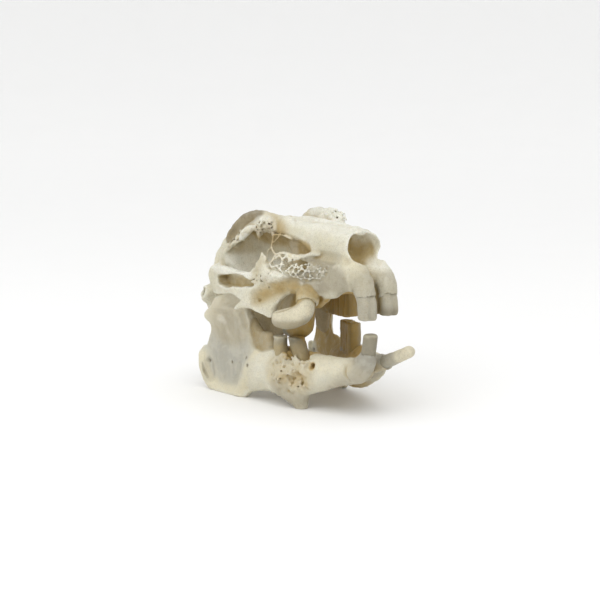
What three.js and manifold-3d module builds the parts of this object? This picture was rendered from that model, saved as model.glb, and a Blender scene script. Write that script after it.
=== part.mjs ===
// Rabbit skull with its lower jaw, mouth open, as a still life-size display model.
// Millimetres, +Z up. The nose points to +X, the animal's left is +Y and the floor is z = 0.

import * as THREE from "three";
import { MarchingCubes } from "three/addons/objects/MarchingCubes.js";
import { mergeVertices } from "three/addons/utils/BufferGeometryUtils.js";
import Module from "manifold-3d";

const wasm = await Module();
wasm.setup();

// Driving dimensions. Paths and outlines are for the left side (+Y) and are mirrored for the right.
// A path's radius goes along it, and an outline is in x and z.
// A blend is how far the line where a form meets the bone is rounded.

const jointGap = 0.3; // clear space between a bone and the next bone
const socketGap = 0.46; // clear space round a tooth, before facets take some of it
const boneStep = 1.0; // cell of the grid that bones are shaped on
const toothStep = 0.55; // cell of the grid that single teeth are shaped on
const craniumFacets = 6200;
const mandibleFacets = 1800;
const toothFacets = 380;
const craniumRoom = { low: [-34, -18, 12], high: [38, 18, 48] };
const mandibleRoom = { low: [-24, 0, -2], high: [38, 19, 27] };

// Braincase, the base under it and the back of the head
const braincase = { centre: [-15.5, 0, 33], half: [15, 11.8, 10], tilt: 14, blend: 1 };
const skullBase = {
  path: [[-30, 0, 25], [-20, 0, 24.5], [-8, 0, 26], [4, 0, 28.5]],
  radius: [3.5, 3.5, 3, 3.2],
  blend: 3,
};
const occiput = { centre: [-28, 0, 27.5], half: [3.5, 10, 7], tilt: 0, blend: 3 };
const occipitalCondyle = { centre: [-31, 3.2, 23.5], half: [2.6, 1.9, 2.6], tilt: 0, blend: 1 };
const spinalOpening = { centre: [-33, 0, 27], half: [4, 3.4, 3], tilt: 0, blend: 0.5 };
const earBulb = { centre: [-24, 8.5, 21.5], half: [5.5, 4.3, 5.3], tilt: 0, blend: 1.5 };
const earTube = { path: [[-25, 9.5, 24.5], [-24.4, 12.6, 24.6]], radius: [2.6, 2.3], blend: 1.5 };
const earOpening = { path: [[-25, 14.5, 25.2], [-24.8, 11.2, 24.9]], radius: [1.5, 1.1], blend: 0.4 };

// Snout, palate and nose
const snoutRoof = {
  path: [[-12, 4, 39], [0, 3.8, 40.3], [12, 3.4, 40], [21, 2.6, 39.8], [26, 1.9, 39.5]],
  radius: [4.5, 4.2, 4, 3.8, 3.6],
  blend: 2,
};
const maxilla = {
  path: [[3, 4.2, 33], [12, 4.4, 32.8], [20, 4, 32.3], [26, 3.4, 32.4], [30.4, 3, 31]],
  radius: [4.6, 4.5, 4.2, 3.6, 2.9],
  blend: 2.5,
};
const incisorBone = {
  path: [[27, 2.9, 33.2], [31.2, 3.2, 31.9], [33.6, 3.2, 27]],
  radius: [3.3, 3.1, 2.9],
  flat: 28.2,
  blend: 1.5,
};
const cheekMargin = {
  path: [[12, 7.4, 29.9], [19, 6.6, 29.6], [24.6, 5.7, 28.9], [28, 4.9, 30.2], [31, 3.6, 30]],
  radius: [1.5, 1.4, 1.5, 1.5, 1.6],
  blend: 1.8,
};
const palate = {
  path: [[0, 0, 28.6], [11, 0, 28.6], [21, 0, 29.4]],
  radius: [1.5, 1.5, 1.5],
  weights: [1, 0.28, 1],
  blend: 1.5,
};
const palateWing = {
  outline: [[5, 28], [3.6, 19], [0, 15.8], [-7, 15.8], [-12.5, 18.4], [-14, 28]],
  thickness: 1.5,
  offset: 4.8, // from the middle plane at the palate
  flare: 0.14, // further out for each millimetre down
  top: 28,
  blend: 1,
};
const noseOpening = { centre: [31, 0, 39.3], half: [9, 4.5, 3.8], tilt: 0, blend: 0.3 };
const nosePassage = { path: [[25, 0, 38.6], [12, 0, 37]], radius: [3.6, 2.8], blend: 0.3 };
const noseRoof = {
  path: [[14, 0, 42.7], [22, 0, 42.8], [27.6, 0, 42.3]],
  radius: [1.2, 1.2, 1.1],
  weights: [1, 0.45, 1],
  blend: 0.6,
};

// Eye socket and brow
const orbit = { centre: [-2.5, 13.2, 35.8], half: [13.5, 9, 7.6], tilt: 0, blend: 1.5 };
const browRecess = { centre: [11.5, 9, 37.6], half: [10, 4.3, 3], tilt: -11, blend: 0.8 };
const browWing = {
  right: [
    [3, 5.5, 43], [-3.5, 7.6, 44.4], [-7.6, 8.6, 44.4],
    [-11, 9.2, 43.2], [-14, 10.4, 40.4], [-18.5, 10.4, 36],
  ],
  left: [
    [5, 8.6, 42.2], [1.8, 9.6, 43.9], [-2.5, 9.7, 44.6],
    [-7, 9, 44.4], [-10.5, 8.8, 43.3], [-16, 9.8, 39.5],
  ],
  radius: [1.6, 1.7, 1.7, 1.7, 1.5, 1.3],
  blend: 2.5,
};
const browWeb = {
  path: [[-1, 9.2, 43.4], [-8.5, 10.4, 41.6], [-14, 10.7, 38.4]],
  radius: [1.4, 1.5, 1.4],
  blend: 1.5,
};
const orbitRim = {
  path: [[1, 8, 42.6], [-2.8, 10.6, 43], [-9, 11.7, 39.6], [-16, 11.3, 35.6], [-20.5, 10.3, 32.6]],
  radius: [0.9, 0.9, 0.9, 1, 1],
  blend: 1,
};

// Cheek arch: a bowed sheet with a long slit, a spike at the eye and a hook below
const archBow = { width: 33, widest: -6, rate: 0.0187 }; // across both arches, x of the widest place, curve
const archSheet = {
  outline: [
    [-23.5, 29.5], [-11.7, 32.3], [0.4, 31.9], [3.9, 33], [5.1, 36.9], [7.2, 34.9],
    [9.6, 37.2], [13.4, 37.1], [16.6, 36.4], [16, 33], [12.7, 28.9], [9, 24], [8.1, 21.3],
    [4.4, 22.5], [1.6, 23], [-4.7, 21.9], [-1.4, 24.2], [-5, 25.6], [-21, 24.6],
  ],
  thickness: 2.2,
  blend: 1.2,
};
const archSlit = {
  outline: [[-14.1, 29.1], [-11.3, 27.2], [1.7, 28.4], [2.2, 29.6], [1.5, 30.5], [-9, 30.6]],
  thickness: 6,
  blend: 0.4,
};
const archRootBack = { path: [[-21, 9, 29], [-19.5, 12.5, 28.5]], radius: [3, 2.4], blend: 2 };
const archRootFront = { path: [[15, 7.5, 33], [9, 12, 31.5]], radius: [3, 2.2], blend: 2 };

// Right upper row: the sockets stand open, with one tooth grown round in a bow and a second behind it.
const pegTooth = { path: [[30.6, 1.6, 31], [31.2, 1.6, 25]], radius: [1.2, 1.1], flat: 25.4, blend: 0.4 };
const socketWall = {
  outline: [[0, 30], [20, 30], [19.5, 26], [14, 23.5], [6, 23], [0, 25]],
  offset: 4.8,
  thickness: 1.7,
  blend: 1,
};
const innerTooth = {
  path: [[13.6, 5.8, 27], [14.2, 6.3, 23], [12.6, 6.9, 20.4], [9, 7.5, 19.5]],
  radius: [2, 2, 1.9, 1.7],
  blend: 0.5,
};
const bowedTooth = {
  path: [[15.5, 7, 28.5], [19, 8.8, 26.4], [19.6, 10.8, 23.2], [16.6, 12.6, 20.9], [11.6, 14, 21]],
  radius: [2, 2.3, 2.6, 2.6, 2.1],
};

// Left upper row: five teeth of one size set at an even pitch, the first worn short.
const upperRow = {
  count: 5, front: 14.6, pitch: 2.9, offset: 6, splay: 0.35,
  root: 30, tip: 20.1, worn: 0.8, radius: 1.7, blend: 0.4,
};
const upperRidge = {
  path: [[16, 6.2, 29], [8, 7, 28.5], [0, 7.8, 28.5]],
  radius: [2.4, 2.6, 2.4],
  blend: 1,
};

// Lower jaw
const ramusPlane = { offset: 13.2, flare: 0.16 }; // y at x = 0, and growth of y to the rear
const ramusLean = { start: 14, amount: 0.02, power: 1.6 }; // the upper part leans in
const ramus = {
  right: [
    [-18, 21.2], [-19.6, 18.6], [-17, 16], [-18.4, 11.4], [-21.2, 9.2], [-21.7, 4.8],
    [-17.5, 0.2], [-13.5, -0.8], [-5, -0.7], [-1, 1.8], [3, 3.2], [6, 6],
    [4.6, 11], [3, 13], [1.4, 17.5], [-0.4, 21.6], [-8, 22], [-13.5, 23.4],
  ],
  left: [
    [-18, 21.6], [-18.3, 18.4], [-16.2, 16], [-16.6, 12.2], [-18.6, 9.4], [-19.4, 4.7],
    [-15.5, 0.2], [-12.5, -0.8], [-3, -0.8], [1, 0.2], [4, 3.2], [6, 6],
    [4, 11], [0.6, 12.2], [-4, 13.5], [-6, 17], [-7.4, 21.4], [-13.5, 23.4],
  ],
  thickness: 1.9,
  blend: 1,
};
const jawCondyle = { path: [[-11.5, 13.6, 22.9], [-16, 14, 22.9]], radius: [1.4, 1.4], blend: 1.5 };
const jawBody = {
  path: [[0, 12.8, 7.5], [8, 10.5, 7.6], [15, 8.5, 8.4], [21, 6.6, 9.4], [28, 4.4, 10.6], [32, 3, 11.6]],
  radius: [4, 5.2, 5.2, 4.2, 3.1, 2.3],
  weights: [1, 1.3, 1],
  blend: 2,
};
const jawSpur = { path: [[11, 9.6, 6], [13.4, 9.3, 3.2], [15.4, 9, 0.4]], radius: [4, 2.8, 1.5], blend: 2 };
const jawAngleRim = {
  path: [[-5, 14, 0.6], [-13, 15.2, 0.6], [-18.2, 16, 3], [-20.4, 16.4, 8.4]],
  radius: [1, 1.1, 1.2, 0.9],
  blend: 1.2,
};
const jawLobe = {
  outline: [[-1.5, 21.5], [1, 17], [2.6, 13], [5, 13.2], [5.6, 16.6], [1.2, 18.8]],
  offset: 11.6,
  thickness: 1.7,
  blend: 1,
};
const chin = { path: [[20, 4.8, 9], [27, 2.4, 10.2], [31.4, 1.9, 11.6]], radius: [2.6, 2.4, 2], blend: 2 };
const incisorSheath = {
  right: { path: [[26, 4.4, 10.2], [31, 3.3, 11.4], [33.6, 3, 14.2]], radius: [2.8, 2.7, 2.3], blend: 1 },
  left: { path: [[24, 3.6, 9.8], [29, 2.9, 10.9], [33.4, 2.6, 12.5]], radius: [2.8, 2.6, 2.4], blend: 1 },
};
const lowerRow = {
  right: {
    count: 2, front: 12.7, pitch: 5.4, offset: 9.2, splay: 1.4,
    root: 9, tip: 16.7, drop: 0.2, radius: 2.4, blend: 0.5,
  },
  left: {
    count: 4, front: 14, pitch: 2.7, offset: 7, splay: 0.8,
    root: 9, tip: 19.5, drop: 0.7, radius: 1.75, blend: 0.5,
  },
};
const rowTooth = { lean: 0.3, weights: [1, 0.85, 1] }; // of every row: tilt to the front, and squeeze
const symphysis = jointGap / 2; // each half of the jaw stops this far from the middle plane

// Incisors
const upperIncisor = {
  path: [[30.6, 3.1, 31], [33, 3.2, 28.6], [33.8, 3.2, 26], [33.4, 3.1, 22]],
  radius: [1.8, 1.95, 2, 2],
  tip: { right: 23.3, left: 24.1 },
};
const lowerIncisor = {
  right: {
    path: [[31, 2.9, 10.8], [33.9, 2.95, 14], [34.8, 2.85, 17.4], [34.9, 2.7, 19.1]],
    radius: [1.6, 1.7, 1.7, 1.55],
  },
  left: {
    path: [[28, 2.6, 10.2], [33, 2.5, 12.2], [38, 2.7, 14.6], [42, 3.1, 16.6]],
    radius: [1.6, 1.6, 1.5, 1.35],
  },
};

const boneFinish = { color: "#ddd6bf", roughness: 0.62, metalness: 0 };
const jawFinish = { color: "#d3ccb6", roughness: 0.62, metalness: 0 };
const toothFinish = { color: "#e8e1c4", roughness: 0.38, metalness: 0 };

const sides = { right: -1, left: 1 };
const floorHeight = 0;
const farOut = 100; // beyond every side of the skull
const emptyDistance = 6; // distance that an empty cell starts with
const tinyStep = 1e-4;
const plainBlend = 0.5;
const stepsBetween = 5; // steps of a curve between two of its named points

// Forms: each has a box and a signed distance, below zero inside

function mirrored(points, side) {
  return points.map(([x, y, z]) => new THREE.Vector3(x, y * side, z));
}

function egg({ centre, half, tilt, blend }, side = 1) {
  const middle = mirrored([centre], side)[0];
  const size = new THREE.Vector3(...half);
  const turn = new THREE.Matrix4().makeRotationY(THREE.MathUtils.degToRad(tilt));
  const reach = Math.max(...half);
  const place = new THREE.Vector3();
  const box = new THREE.Box3(middle.clone(), middle.clone()).expandByScalar(reach);
  function distance(point) {
    place.subVectors(point, middle).applyMatrix4(turn).divide(size);
    const near = place.length();
    return near * (near - 1) / Math.max(place.divide(size).length(), tinyStep);
  }
  return { box, distance, blend };
}

function tube({ path, radius, weights = [1, 1, 1], flat = null, blend = plainBlend }, side = 1, grow = 0) {
  const stretch = new THREE.Vector3(...weights);
  const widest = Math.max(...weights);
  const count = (path.length - 1) * stepsBetween;
  const curve = new THREE.CatmullRomCurve3(mirrored(path, side), false, "catmullrom", 0.5);
  const points = path.length > 2 ? curve.getPoints(count) : mirrored(path, side);
  const last = points.length - 1;
  const sizes = points.map((point, i) => {
    const along = (i / last) * (radius.length - 1);
    const index = Math.min(Math.floor(along), radius.length - 2);
    return grow + THREE.MathUtils.lerp(radius[index], radius[index + 1], along - index);
  });
  const reach = Math.max(...sizes) / Math.min(...weights);
  const box = new THREE.Box3().setFromPoints(points).expandByScalar(reach);
  const run = new THREE.Vector3();
  const offset = new THREE.Vector3();
  function distance(point) {
    let best = Infinity;
    for (let i = 0; i < last; i += 1) {
      run.subVectors(points[i + 1], points[i]).multiply(stretch);
      offset.subVectors(point, points[i]).multiply(stretch);
      const along = THREE.MathUtils.clamp(offset.dot(run) / run.lengthSq(), 0, 1);
      const away = offset.addScaledVector(run, -along).length();
      best = Math.min(best, away - THREE.MathUtils.lerp(sizes[i], sizes[i + 1], along));
    }
    const past = flat === null ? -Infinity : (point.z - flat) * Math.sign(flat - points[0].z);
    return Math.max(best / widest, past - grow);
  }
  return { box, distance, blend };
}

function outlineDistance(x, z, corners) {
  let best = Infinity;
  let inside = false;
  for (let i = 0, j = corners.length - 1; i < corners.length; j = i, i += 1) {
    const from = corners[j];
    const to = corners[i];
    const runX = to.x - from.x;
    const runZ = to.y - from.y;
    const length = Math.max(runX * runX + runZ * runZ, tinyStep * tinyStep);
    const along = THREE.MathUtils.clamp(((x - from.x) * runX + (z - from.y) * runZ) / length, 0, 1);
    best = Math.min(best, Math.hypot(x - from.x - along * runX, z - from.y - along * runZ));
    if (from.y > z !== to.y > z && x < from.x + (z - from.y) * runX / runZ) inside = !inside;
  }
  return inside ? -best : best;
}

// A sheet seen from the side: its outline is in x and z, and middle(x, z) gives its y.
function sheet({ outline, thickness, blend }, middle) {
  const edge = 0.7; // rounding of the sheet's border
  const closed = outline.map(([x, z]) => new THREE.Vector3(x, z, 0));
  const curve = new THREE.CatmullRomCurve3(closed, true, "catmullrom", 0.5);
  const corners = curve.getPoints(outline.length * stepsBetween).slice(0, -1);
  const box = new THREE.Box3();
  for (const corner of corners) {
    box.expandByPoint(new THREE.Vector3(corner.x, middle(corner.x, corner.y), corner.y));
  }
  box.expandByVector(new THREE.Vector3(0, thickness, 0));
  function distance(point) {
    const flat = outlineDistance(point.x, point.z, corners) + edge;
    const across = Math.abs(point.y - middle(point.x, point.z)) - thickness / 2 + edge;
    const outside = Math.hypot(Math.max(flat, 0), Math.max(across, 0));
    return Math.min(Math.max(flat, across), 0) + outside - edge;
  }
  return { box, distance, blend };
}

// A grid of distances: forms are fused into it or carved out of it with a rounded meeting line

class Field {
  constructor(box, step) {
    const facetRoom = 60000;
    const margin = 5;
    this.step = step;
    this.middle = box.getCenter(new THREE.Vector3());
    const size = box.getSize(new THREE.Vector3());
    this.cells = Math.ceil(Math.max(size.x, size.y, size.z) / step) + 2 * margin;
    this.cubes = new MarchingCubes(this.cells, new THREE.MeshBasicMaterial(), false, false, facetRoom);
    this.cubes.isolation = 0;
    this.cubes.field.fill(-emptyDistance);
  }

  cellAt(value, axis) {
    return (value - this.middle.getComponent(axis)) / this.step + this.cells / 2;
  }

  placeOf(cell, axis) {
    return this.middle.getComponent(axis) + (cell - this.cells / 2) * this.step;
  }

  visit(form, change) {
    const reach = form.blend + 2 * this.step;
    const last = this.cells - 1;
    const low = form.box.min.toArray().map((v, k) => Math.max(Math.floor(this.cellAt(v - reach, k)), 0));
    const high = form.box.max.toArray().map((v, k) => Math.min(Math.ceil(this.cellAt(v + reach, k)), last));
    const point = new THREE.Vector3();
    for (let z = low[2]; z <= high[2]; z += 1) {
      for (let y = low[1]; y <= high[1]; y += 1) {
        for (let x = low[0]; x <= high[0]; x += 1) {
          point.set(this.placeOf(x, 0), this.placeOf(y, 1), this.placeOf(z, 2));
          const cell = (z * this.cells + y) * this.cells + x;
          this.cubes.field[cell] = -change(-this.cubes.field[cell], form.distance(point));
        }
      }
    }
    return this;
  }

  fuse(form) {
    return this.visit(form, (now, added) => {
      const overlap = Math.max(form.blend - Math.abs(now - added), 0) / form.blend;
      return Math.min(now, added) - overlap * overlap * form.blend / 4;
    });
  }

  carve(form) {
    return this.visit(form, (now, taken) => {
      const overlap = Math.max(form.blend - Math.abs(now + taken), 0) / form.blend;
      return Math.max(now, -taken) + overlap * overlap * form.blend / 4;
    });
  }

  surface() {
    const least = 0.08 * this.step; // no corner lies so near a grid point that a facet becomes a sliver
    const field = this.cubes.field;
    for (let i = 0; i < field.length; i += 1) {
      if (Math.abs(field[i]) < least) field[i] = field[i] < 0 ? -least : least;
    }
    this.cubes.update();
    const corners = this.cubes.positionArray.slice(0, this.cubes.count * 3);
    const raw = new THREE.BufferGeometry();
    raw.setAttribute("position", new THREE.BufferAttribute(corners, 3));
    const scale = this.cells / 2 * this.step;
    raw.scale(scale, scale, scale);
    raw.translate(...this.middle.toArray());
    return mergeVertices(raw, tinyStep);
  }
}

// Fewer facets: the edge whose loss moves the surface least goes first, and the surface stays closed

class EdgeQueue {
  constructor() {
    this.items = [];
  }

  push(item) {
    const items = this.items;
    let i = items.length;
    items.push(item);
    while (i > 0) {
      const parent = (i - 1) >> 1;
      if (items[parent].cost <= item.cost) break;
      items[i] = items[parent];
      i = parent;
    }
    items[i] = item;
  }

  pop() {
    const items = this.items;
    const first = items[0];
    const moved = items.pop();
    if (items.length === 0) return first;
    let i = 0;
    for (;;) {
      let child = 2 * i + 1;
      if (child >= items.length) break;
      if (child + 1 < items.length && items[child + 1].cost < items[child].cost) child += 1;
      if (items[child].cost >= moved.cost) break;
      items[i] = items[child];
      i = child;
    }
    items[i] = moved;
    return first;
  }
}

// The sum of squared distances to some planes, as the ten numbers of a symmetric 4 x 4 matrix.
function addPlane(sum, normal, offset, weight) {
  const plane = [normal.x, normal.y, normal.z, offset];
  let k = 0;
  for (let i = 0; i < 4; i += 1) {
    for (let j = i; j < 4; j += 1) {
      sum[k] += weight * plane[i] * plane[j];
      k += 1;
    }
  }
}

function planeError(sum, p) {
  const [xx, xy, xz, xw, yy, yz, yw, zz, zw, ww] = sum;
  const square = xx * p.x * p.x + yy * p.y * p.y + zz * p.z * p.z + ww;
  const mixed = xy * p.x * p.y + xz * p.x * p.z + yz * p.y * p.z + xw * p.x + yw * p.y + zw * p.z;
  return square + 2 * mixed;
}

function bestPlace(sum, from, to) {
  const [xx, xy, xz, xw, yy, yz, yw, zz, zw] = sum;
  const matrix = new THREE.Matrix3().set(xx, xy, xz, xy, yy, yz, xz, yz, zz);
  const middle = new THREE.Vector3().addVectors(from, to).multiplyScalar(0.5);
  if (Math.abs(matrix.determinant()) < tinyStep * tinyStep) return middle;
  const place = new THREE.Vector3(-xw, -yw, -zw).applyMatrix3(matrix.invert());
  return place.distanceTo(middle) < from.distanceTo(to) ? place : middle;
}

class FacetSet {
  constructor(geometry) {
    const spread = 2e-3; // small pull to even spacing where the surface is flat
    const position = geometry.getAttribute("position");
    const index = geometry.getIndex().array;
    this.points = [];
    for (let i = 0; i < position.count; i += 1) {
      this.points.push(new THREE.Vector3().fromBufferAttribute(position, i));
    }
    this.facets = [];
    this.around = this.points.map(() => new Set());
    this.sums = this.points.map(() => new Array(10).fill(0));
    this.ages = this.points.map(() => 0);
    for (let i = 0; i < index.length; i += 3) {
      const corners = [index[i], index[i + 1], index[i + 2]];
      if (new Set(corners).size === 3) this.addFacet(corners);
    }
    this.count = this.facets.length;
    const axes = [new THREE.Vector3(1, 0, 0), new THREE.Vector3(0, 1, 0), new THREE.Vector3(0, 0, 1)];
    this.points.forEach((point, i) => {
      for (const axis of axes) addPlane(this.sums[i], axis, -axis.dot(point), spread);
    });
  }

  addFacet(corners) {
    const facet = this.facets.push(corners) - 1;
    const normal = this.normal(corners);
    const size = normal.length();
    normal.divideScalar(Math.max(size, tinyStep * tinyStep));
    for (const corner of corners) {
      this.around[corner].add(facet);
      addPlane(this.sums[corner], normal, -normal.dot(this.points[corner]), size);
    }
  }

  normal(corners, moved = -1, place = null) {
    const [a, b, c] = corners.map((corner) => (corner === moved ? place : this.points[corner]));
    return new THREE.Vector3().subVectors(b, a).cross(new THREE.Vector3().subVectors(c, a));
  }

  neighbours(point) {
    const found = new Set();
    for (const facet of this.around[point]) this.facets[facet].forEach((corner) => found.add(corner));
    found.delete(point);
    return found;
  }

  edge(from, to) {
    const sum = this.sums[from].map((value, k) => value + this.sums[to][k]);
    const place = bestPlace(sum, this.points[from], this.points[to]);
    const cost = planeError(sum, place);
    return { cost, from, to, place, sum, ageFrom: this.ages[from], ageTo: this.ages[to] };
  }

  // How far a facet is from a sliver: twice its area over its longest side squared.
  fullness(corners, moved = -1, place = null) {
    const spots = corners.map((corner) => (corner === moved ? place : this.points[corner]));
    const longest = Math.max(...spots.map((spot, i) => spot.distanceToSquared(spots[(i + 1) % 3])));
    return this.normal(corners, moved, place).length() / Math.max(longest, tinyStep * tinyStep);
  }

  // A move is refused where a facet would turn over or shrink to a sliver.
  keepsShape(point, other, place) {
    const leastTurn = 0.3;
    const leastFullness = 0.06;
    for (const facet of this.around[point]) {
      const corners = this.facets[facet];
      if (corners.includes(other)) continue;
      const fullBefore = this.fullness(corners);
      const fullAfter = this.fullness(corners, point, place);
      if (fullAfter < Math.min(leastFullness, fullBefore)) return false;
      const before = this.normal(corners);
      const after = this.normal(corners, point, place);
      const turned = before.dot(after) < leastTurn * before.length() * after.length();
      if (turned && fullBefore > leastFullness) return false;
    }
    return true;
  }

  collapse({ from, to, place, sum }) {
    const shared = [...this.around[from]].filter((facet) => this.around[to].has(facet));
    const near = this.neighbours(to);
    const common = [...this.neighbours(from)].filter((point) => near.has(point));
    if (shared.length !== 2 || common.length !== 2) return false;
    if (!this.keepsShape(from, to, place) || !this.keepsShape(to, from, place)) return false;
    for (const facet of shared) {
      this.facets[facet].forEach((corner) => this.around[corner].delete(facet));
      this.facets[facet] = null;
      this.count -= 1;
    }
    for (const facet of this.around[to]) {
      this.facets[facet] = this.facets[facet].map((corner) => (corner === to ? from : corner));
      this.around[from].add(facet);
    }
    this.around[to].clear();
    this.points[from] = place;
    this.sums[from] = sum;
    this.ages[from] += 1;
    this.ages[to] = -1;
    return true;
  }

  reduce(target) {
    const queue = new EdgeQueue();
    this.points.forEach((point, from) => {
      for (const to of this.neighbours(from)) if (from < to) queue.push(this.edge(from, to));
    });
    while (this.count > target && queue.items.length > 0) {
      const edge = queue.pop();
      const current = this.ages[edge.from] === edge.ageFrom && this.ages[edge.to] === edge.ageTo;
      if (!current || !this.collapse(edge)) continue;
      for (const to of this.neighbours(edge.from)) queue.push(this.edge(edge.from, to));
    }
    return this;
  }

  solid() {
    const kept = this.facets.filter((facet) => facet !== null).flat();
    const used = [...new Set(kept)];
    const renamed = new Map(used.map((point, i) => [point, i]));
    const vertProperties = new Float32Array(used.flatMap((point) => this.points[point].toArray()));
    const triVerts = new Uint32Array(kept.map((point) => renamed.get(point)));
    return new wasm.Manifold(new wasm.Mesh({ numProp: 3, vertProperties, triVerts }));
  }
}

// Solids: one closed body each, with exact flats where it is cut

function boxSolid(low, high) {
  const size = new THREE.Vector3().subVectors(high, low);
  const box = new THREE.BoxGeometry(size.x, size.y, size.z);
  box.translate(...new THREE.Vector3().addVectors(high, low).multiplyScalar(0.5).toArray());
  box.deleteAttribute("normal");
  box.deleteAttribute("uv");
  return new FacetSet(mergeVertices(box)).solid();
}

function largestBody(solid) {
  return solid.decompose().reduce((best, body) => (body.numTri() > best.numTri() ? body : best));
}

function below(height) {
  const low = new THREE.Vector3(-farOut, -farOut, height - farOut);
  return boxSolid(low, new THREE.Vector3(farOut, farOut, height));
}

// Everything across the middle plane from one side of the head.
function across(side) {
  const low = new THREE.Vector3(-farOut, side > 0 ? -farOut : -symphysis, -farOut);
  const high = new THREE.Vector3(farOut, side > 0 ? symphysis : farOut, farOut);
  return boxSolid(low, high);
}

function pieceMesh(name, solid, finish) {
  const body = largestBody(solid).getMesh();
  const geometry = new THREE.BufferGeometry();
  geometry.setAttribute("position", new THREE.BufferAttribute(new Float32Array(body.vertProperties), 3));
  geometry.setIndex(new THREE.BufferAttribute(new Uint32Array(body.triVerts), 1));
  geometry.computeVertexNormals();
  const mesh = new THREE.Mesh(geometry, new THREE.MeshStandardMaterial(finish));
  mesh.name = name;
  return mesh;
}

function boneField(room, side = 1) {
  return new Field(new THREE.Box3().setFromPoints(mirrored([room.low, room.high], side)), boneStep);
}

// A single tooth, or its socket where it is grown by the gap.
function toothSolid(tooth, side, grow) {
  const form = tube(tooth, side, grow);
  const field = new Field(form.box, toothStep).fuse(form);
  return new FacetSet(field.surface()).reduce(toothFacets).solid();
}

// One tooth of a row: a squeezed column with a flat worn end.
function cheekTooth({ front, pitch, offset, splay, root, radius, blend }, i, tip, side) {
  const x = front - i * pitch;
  const y = offset + i * splay;
  const { lean, weights } = rowTooth;
  const path = [[x, y, root], [x + lean, y - lean, tip]];
  return tube({ path, radius: [radius, radius], weights, flat: tip, blend }, side);
}

// Skull above the jaw

function archMiddle(side) {
  return (x) => side * (archBow.width / 2 - archBow.rate * (x - archBow.widest) ** 2);
}

function palateWingMiddle(side) {
  return (x, z) => side * (palateWing.offset + palateWing.flare * (palateWing.top - z));
}

function addBraincase(field) {
  field.fuse(egg(braincase)).fuse(tube(skullBase)).fuse(egg(occiput));
  for (const side of Object.values(sides)) {
    field.fuse(egg(earBulb, side)).fuse(tube(earTube, side)).fuse(egg(occipitalCondyle, side));
  }
  field.carve(egg(spinalOpening));
}

function addSnout(field) {
  for (const side of Object.values(sides)) {
    for (const bone of [snoutRoof, maxilla, incisorBone, cheekMargin]) field.fuse(tube(bone, side));
  }
}

function addOrbit(field, name, side) {
  const { radius, blend } = browWing;
  field.carve(egg(orbit, side)).carve(egg(browRecess, side)).carve(tube(earOpening, side));
  field.fuse(tube({ path: browWing[name], radius, blend }, side));
  field.fuse(tube(browWeb, side)).fuse(tube(orbitRim, side));
}

function addCheekArch(field, side) {
  const middle = archMiddle(side);
  field.fuse(sheet(archSheet, middle)).fuse(tube(archRootBack, side)).fuse(tube(archRootFront, side));
  field.carve(sheet(archSlit, middle));
}

function addPalate(field) {
  field.fuse(tube(palate));
  for (const side of Object.values(sides)) field.fuse(sheet(palateWing, palateWingMiddle(side)));
}

function addUpperTeeth(field) {
  const { right, left } = sides;
  field.fuse(sheet(socketWall, () => right * socketWall.offset));
  field.fuse(tube(innerTooth, right)).fuse(tube(upperRidge, left));
  for (const side of Object.values(sides)) field.fuse(tube(pegTooth, side));
  for (let i = 0; i < upperRow.count; i += 1) {
    const worn = i === 0 ? upperRow.worn : 0;
    field.fuse(cheekTooth(upperRow, i, upperRow.tip + worn, left));
  }
}

function craniumMesh() {
  const field = boneField(craniumRoom);
  addBraincase(field);
  addSnout(field);
  for (const [name, side] of Object.entries(sides)) addOrbit(field, name, side);
  for (const side of Object.values(sides)) addCheekArch(field, side);
  addPalate(field);
  addUpperTeeth(field);
  field.carve(egg(noseOpening)).carve(tube(nosePassage)).fuse(tube(noseRoof));
  let solid = new FacetSet(field.surface()).reduce(craniumFacets).solid();
  solid = solid.subtract(toothSolid(bowedTooth, sides.right, socketGap));
  for (const side of Object.values(sides)) {
    solid = solid.subtract(toothSolid(upperIncisor, side, socketGap));
  }
  return pieceMesh("cranium", solid, boneFinish);
}

// Lower jaw, one bone for each side

function ramusMiddle(side) {
  return (x, z) => {
    const lean = ramusLean.amount * Math.max(z - ramusLean.start, 0) ** ramusLean.power;
    return side * (ramusPlane.offset - ramusPlane.flare * x - lean);
  };
}

function addLowerTeeth(field, row, side) {
  for (let i = 0; i < row.count; i += 1) field.fuse(cheekTooth(row, i, row.tip - i * row.drop, side));
}

function mandibleMesh(name, side) {
  const { thickness, blend } = ramus;
  const field = boneField(mandibleRoom, side);
  field.fuse(sheet({ outline: ramus[name], thickness, blend }, ramusMiddle(side)));
  for (const bone of [jawCondyle, jawBody, chin, incisorSheath[name], jawAngleRim]) {
    field.fuse(tube(bone, side));
  }
  if (side === sides.right) {
    field.fuse(tube(jawSpur, side));
    field.fuse(sheet(jawLobe, () => side * jawLobe.offset));
  }
  addLowerTeeth(field, lowerRow[name], side);
  const solid = new FacetSet(field.surface()).reduce(mandibleFacets).solid();
  const half = solid.subtract(below(floorHeight)).subtract(across(side));
  const socket = toothSolid(lowerIncisor[name], side, socketGap);
  return pieceMesh(`mandible_${name}`, half.subtract(socket), jawFinish);
}

// Single teeth in their sockets

function toothMesh(name, tooth, side, tip = null) {
  const grown = toothSolid(tooth, side, 0);
  const solid = tip === null ? grown : grown.subtract(below(tip));
  return pieceMesh(name, solid, toothFinish);
}

const skull = new THREE.Group();
skull.add(craniumMesh());
for (const [name, side] of Object.entries(sides)) {
  skull.add(mandibleMesh(name, side));
  skull.add(toothMesh(`upper_incisor_${name}`, upperIncisor, side, upperIncisor.tip[name]));
  skull.add(toothMesh(`lower_incisor_${name}`, lowerIncisor[name], side));
}
skull.add(toothMesh("cheek_tooth_upper_right", bowedTooth, sides.right));

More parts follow.
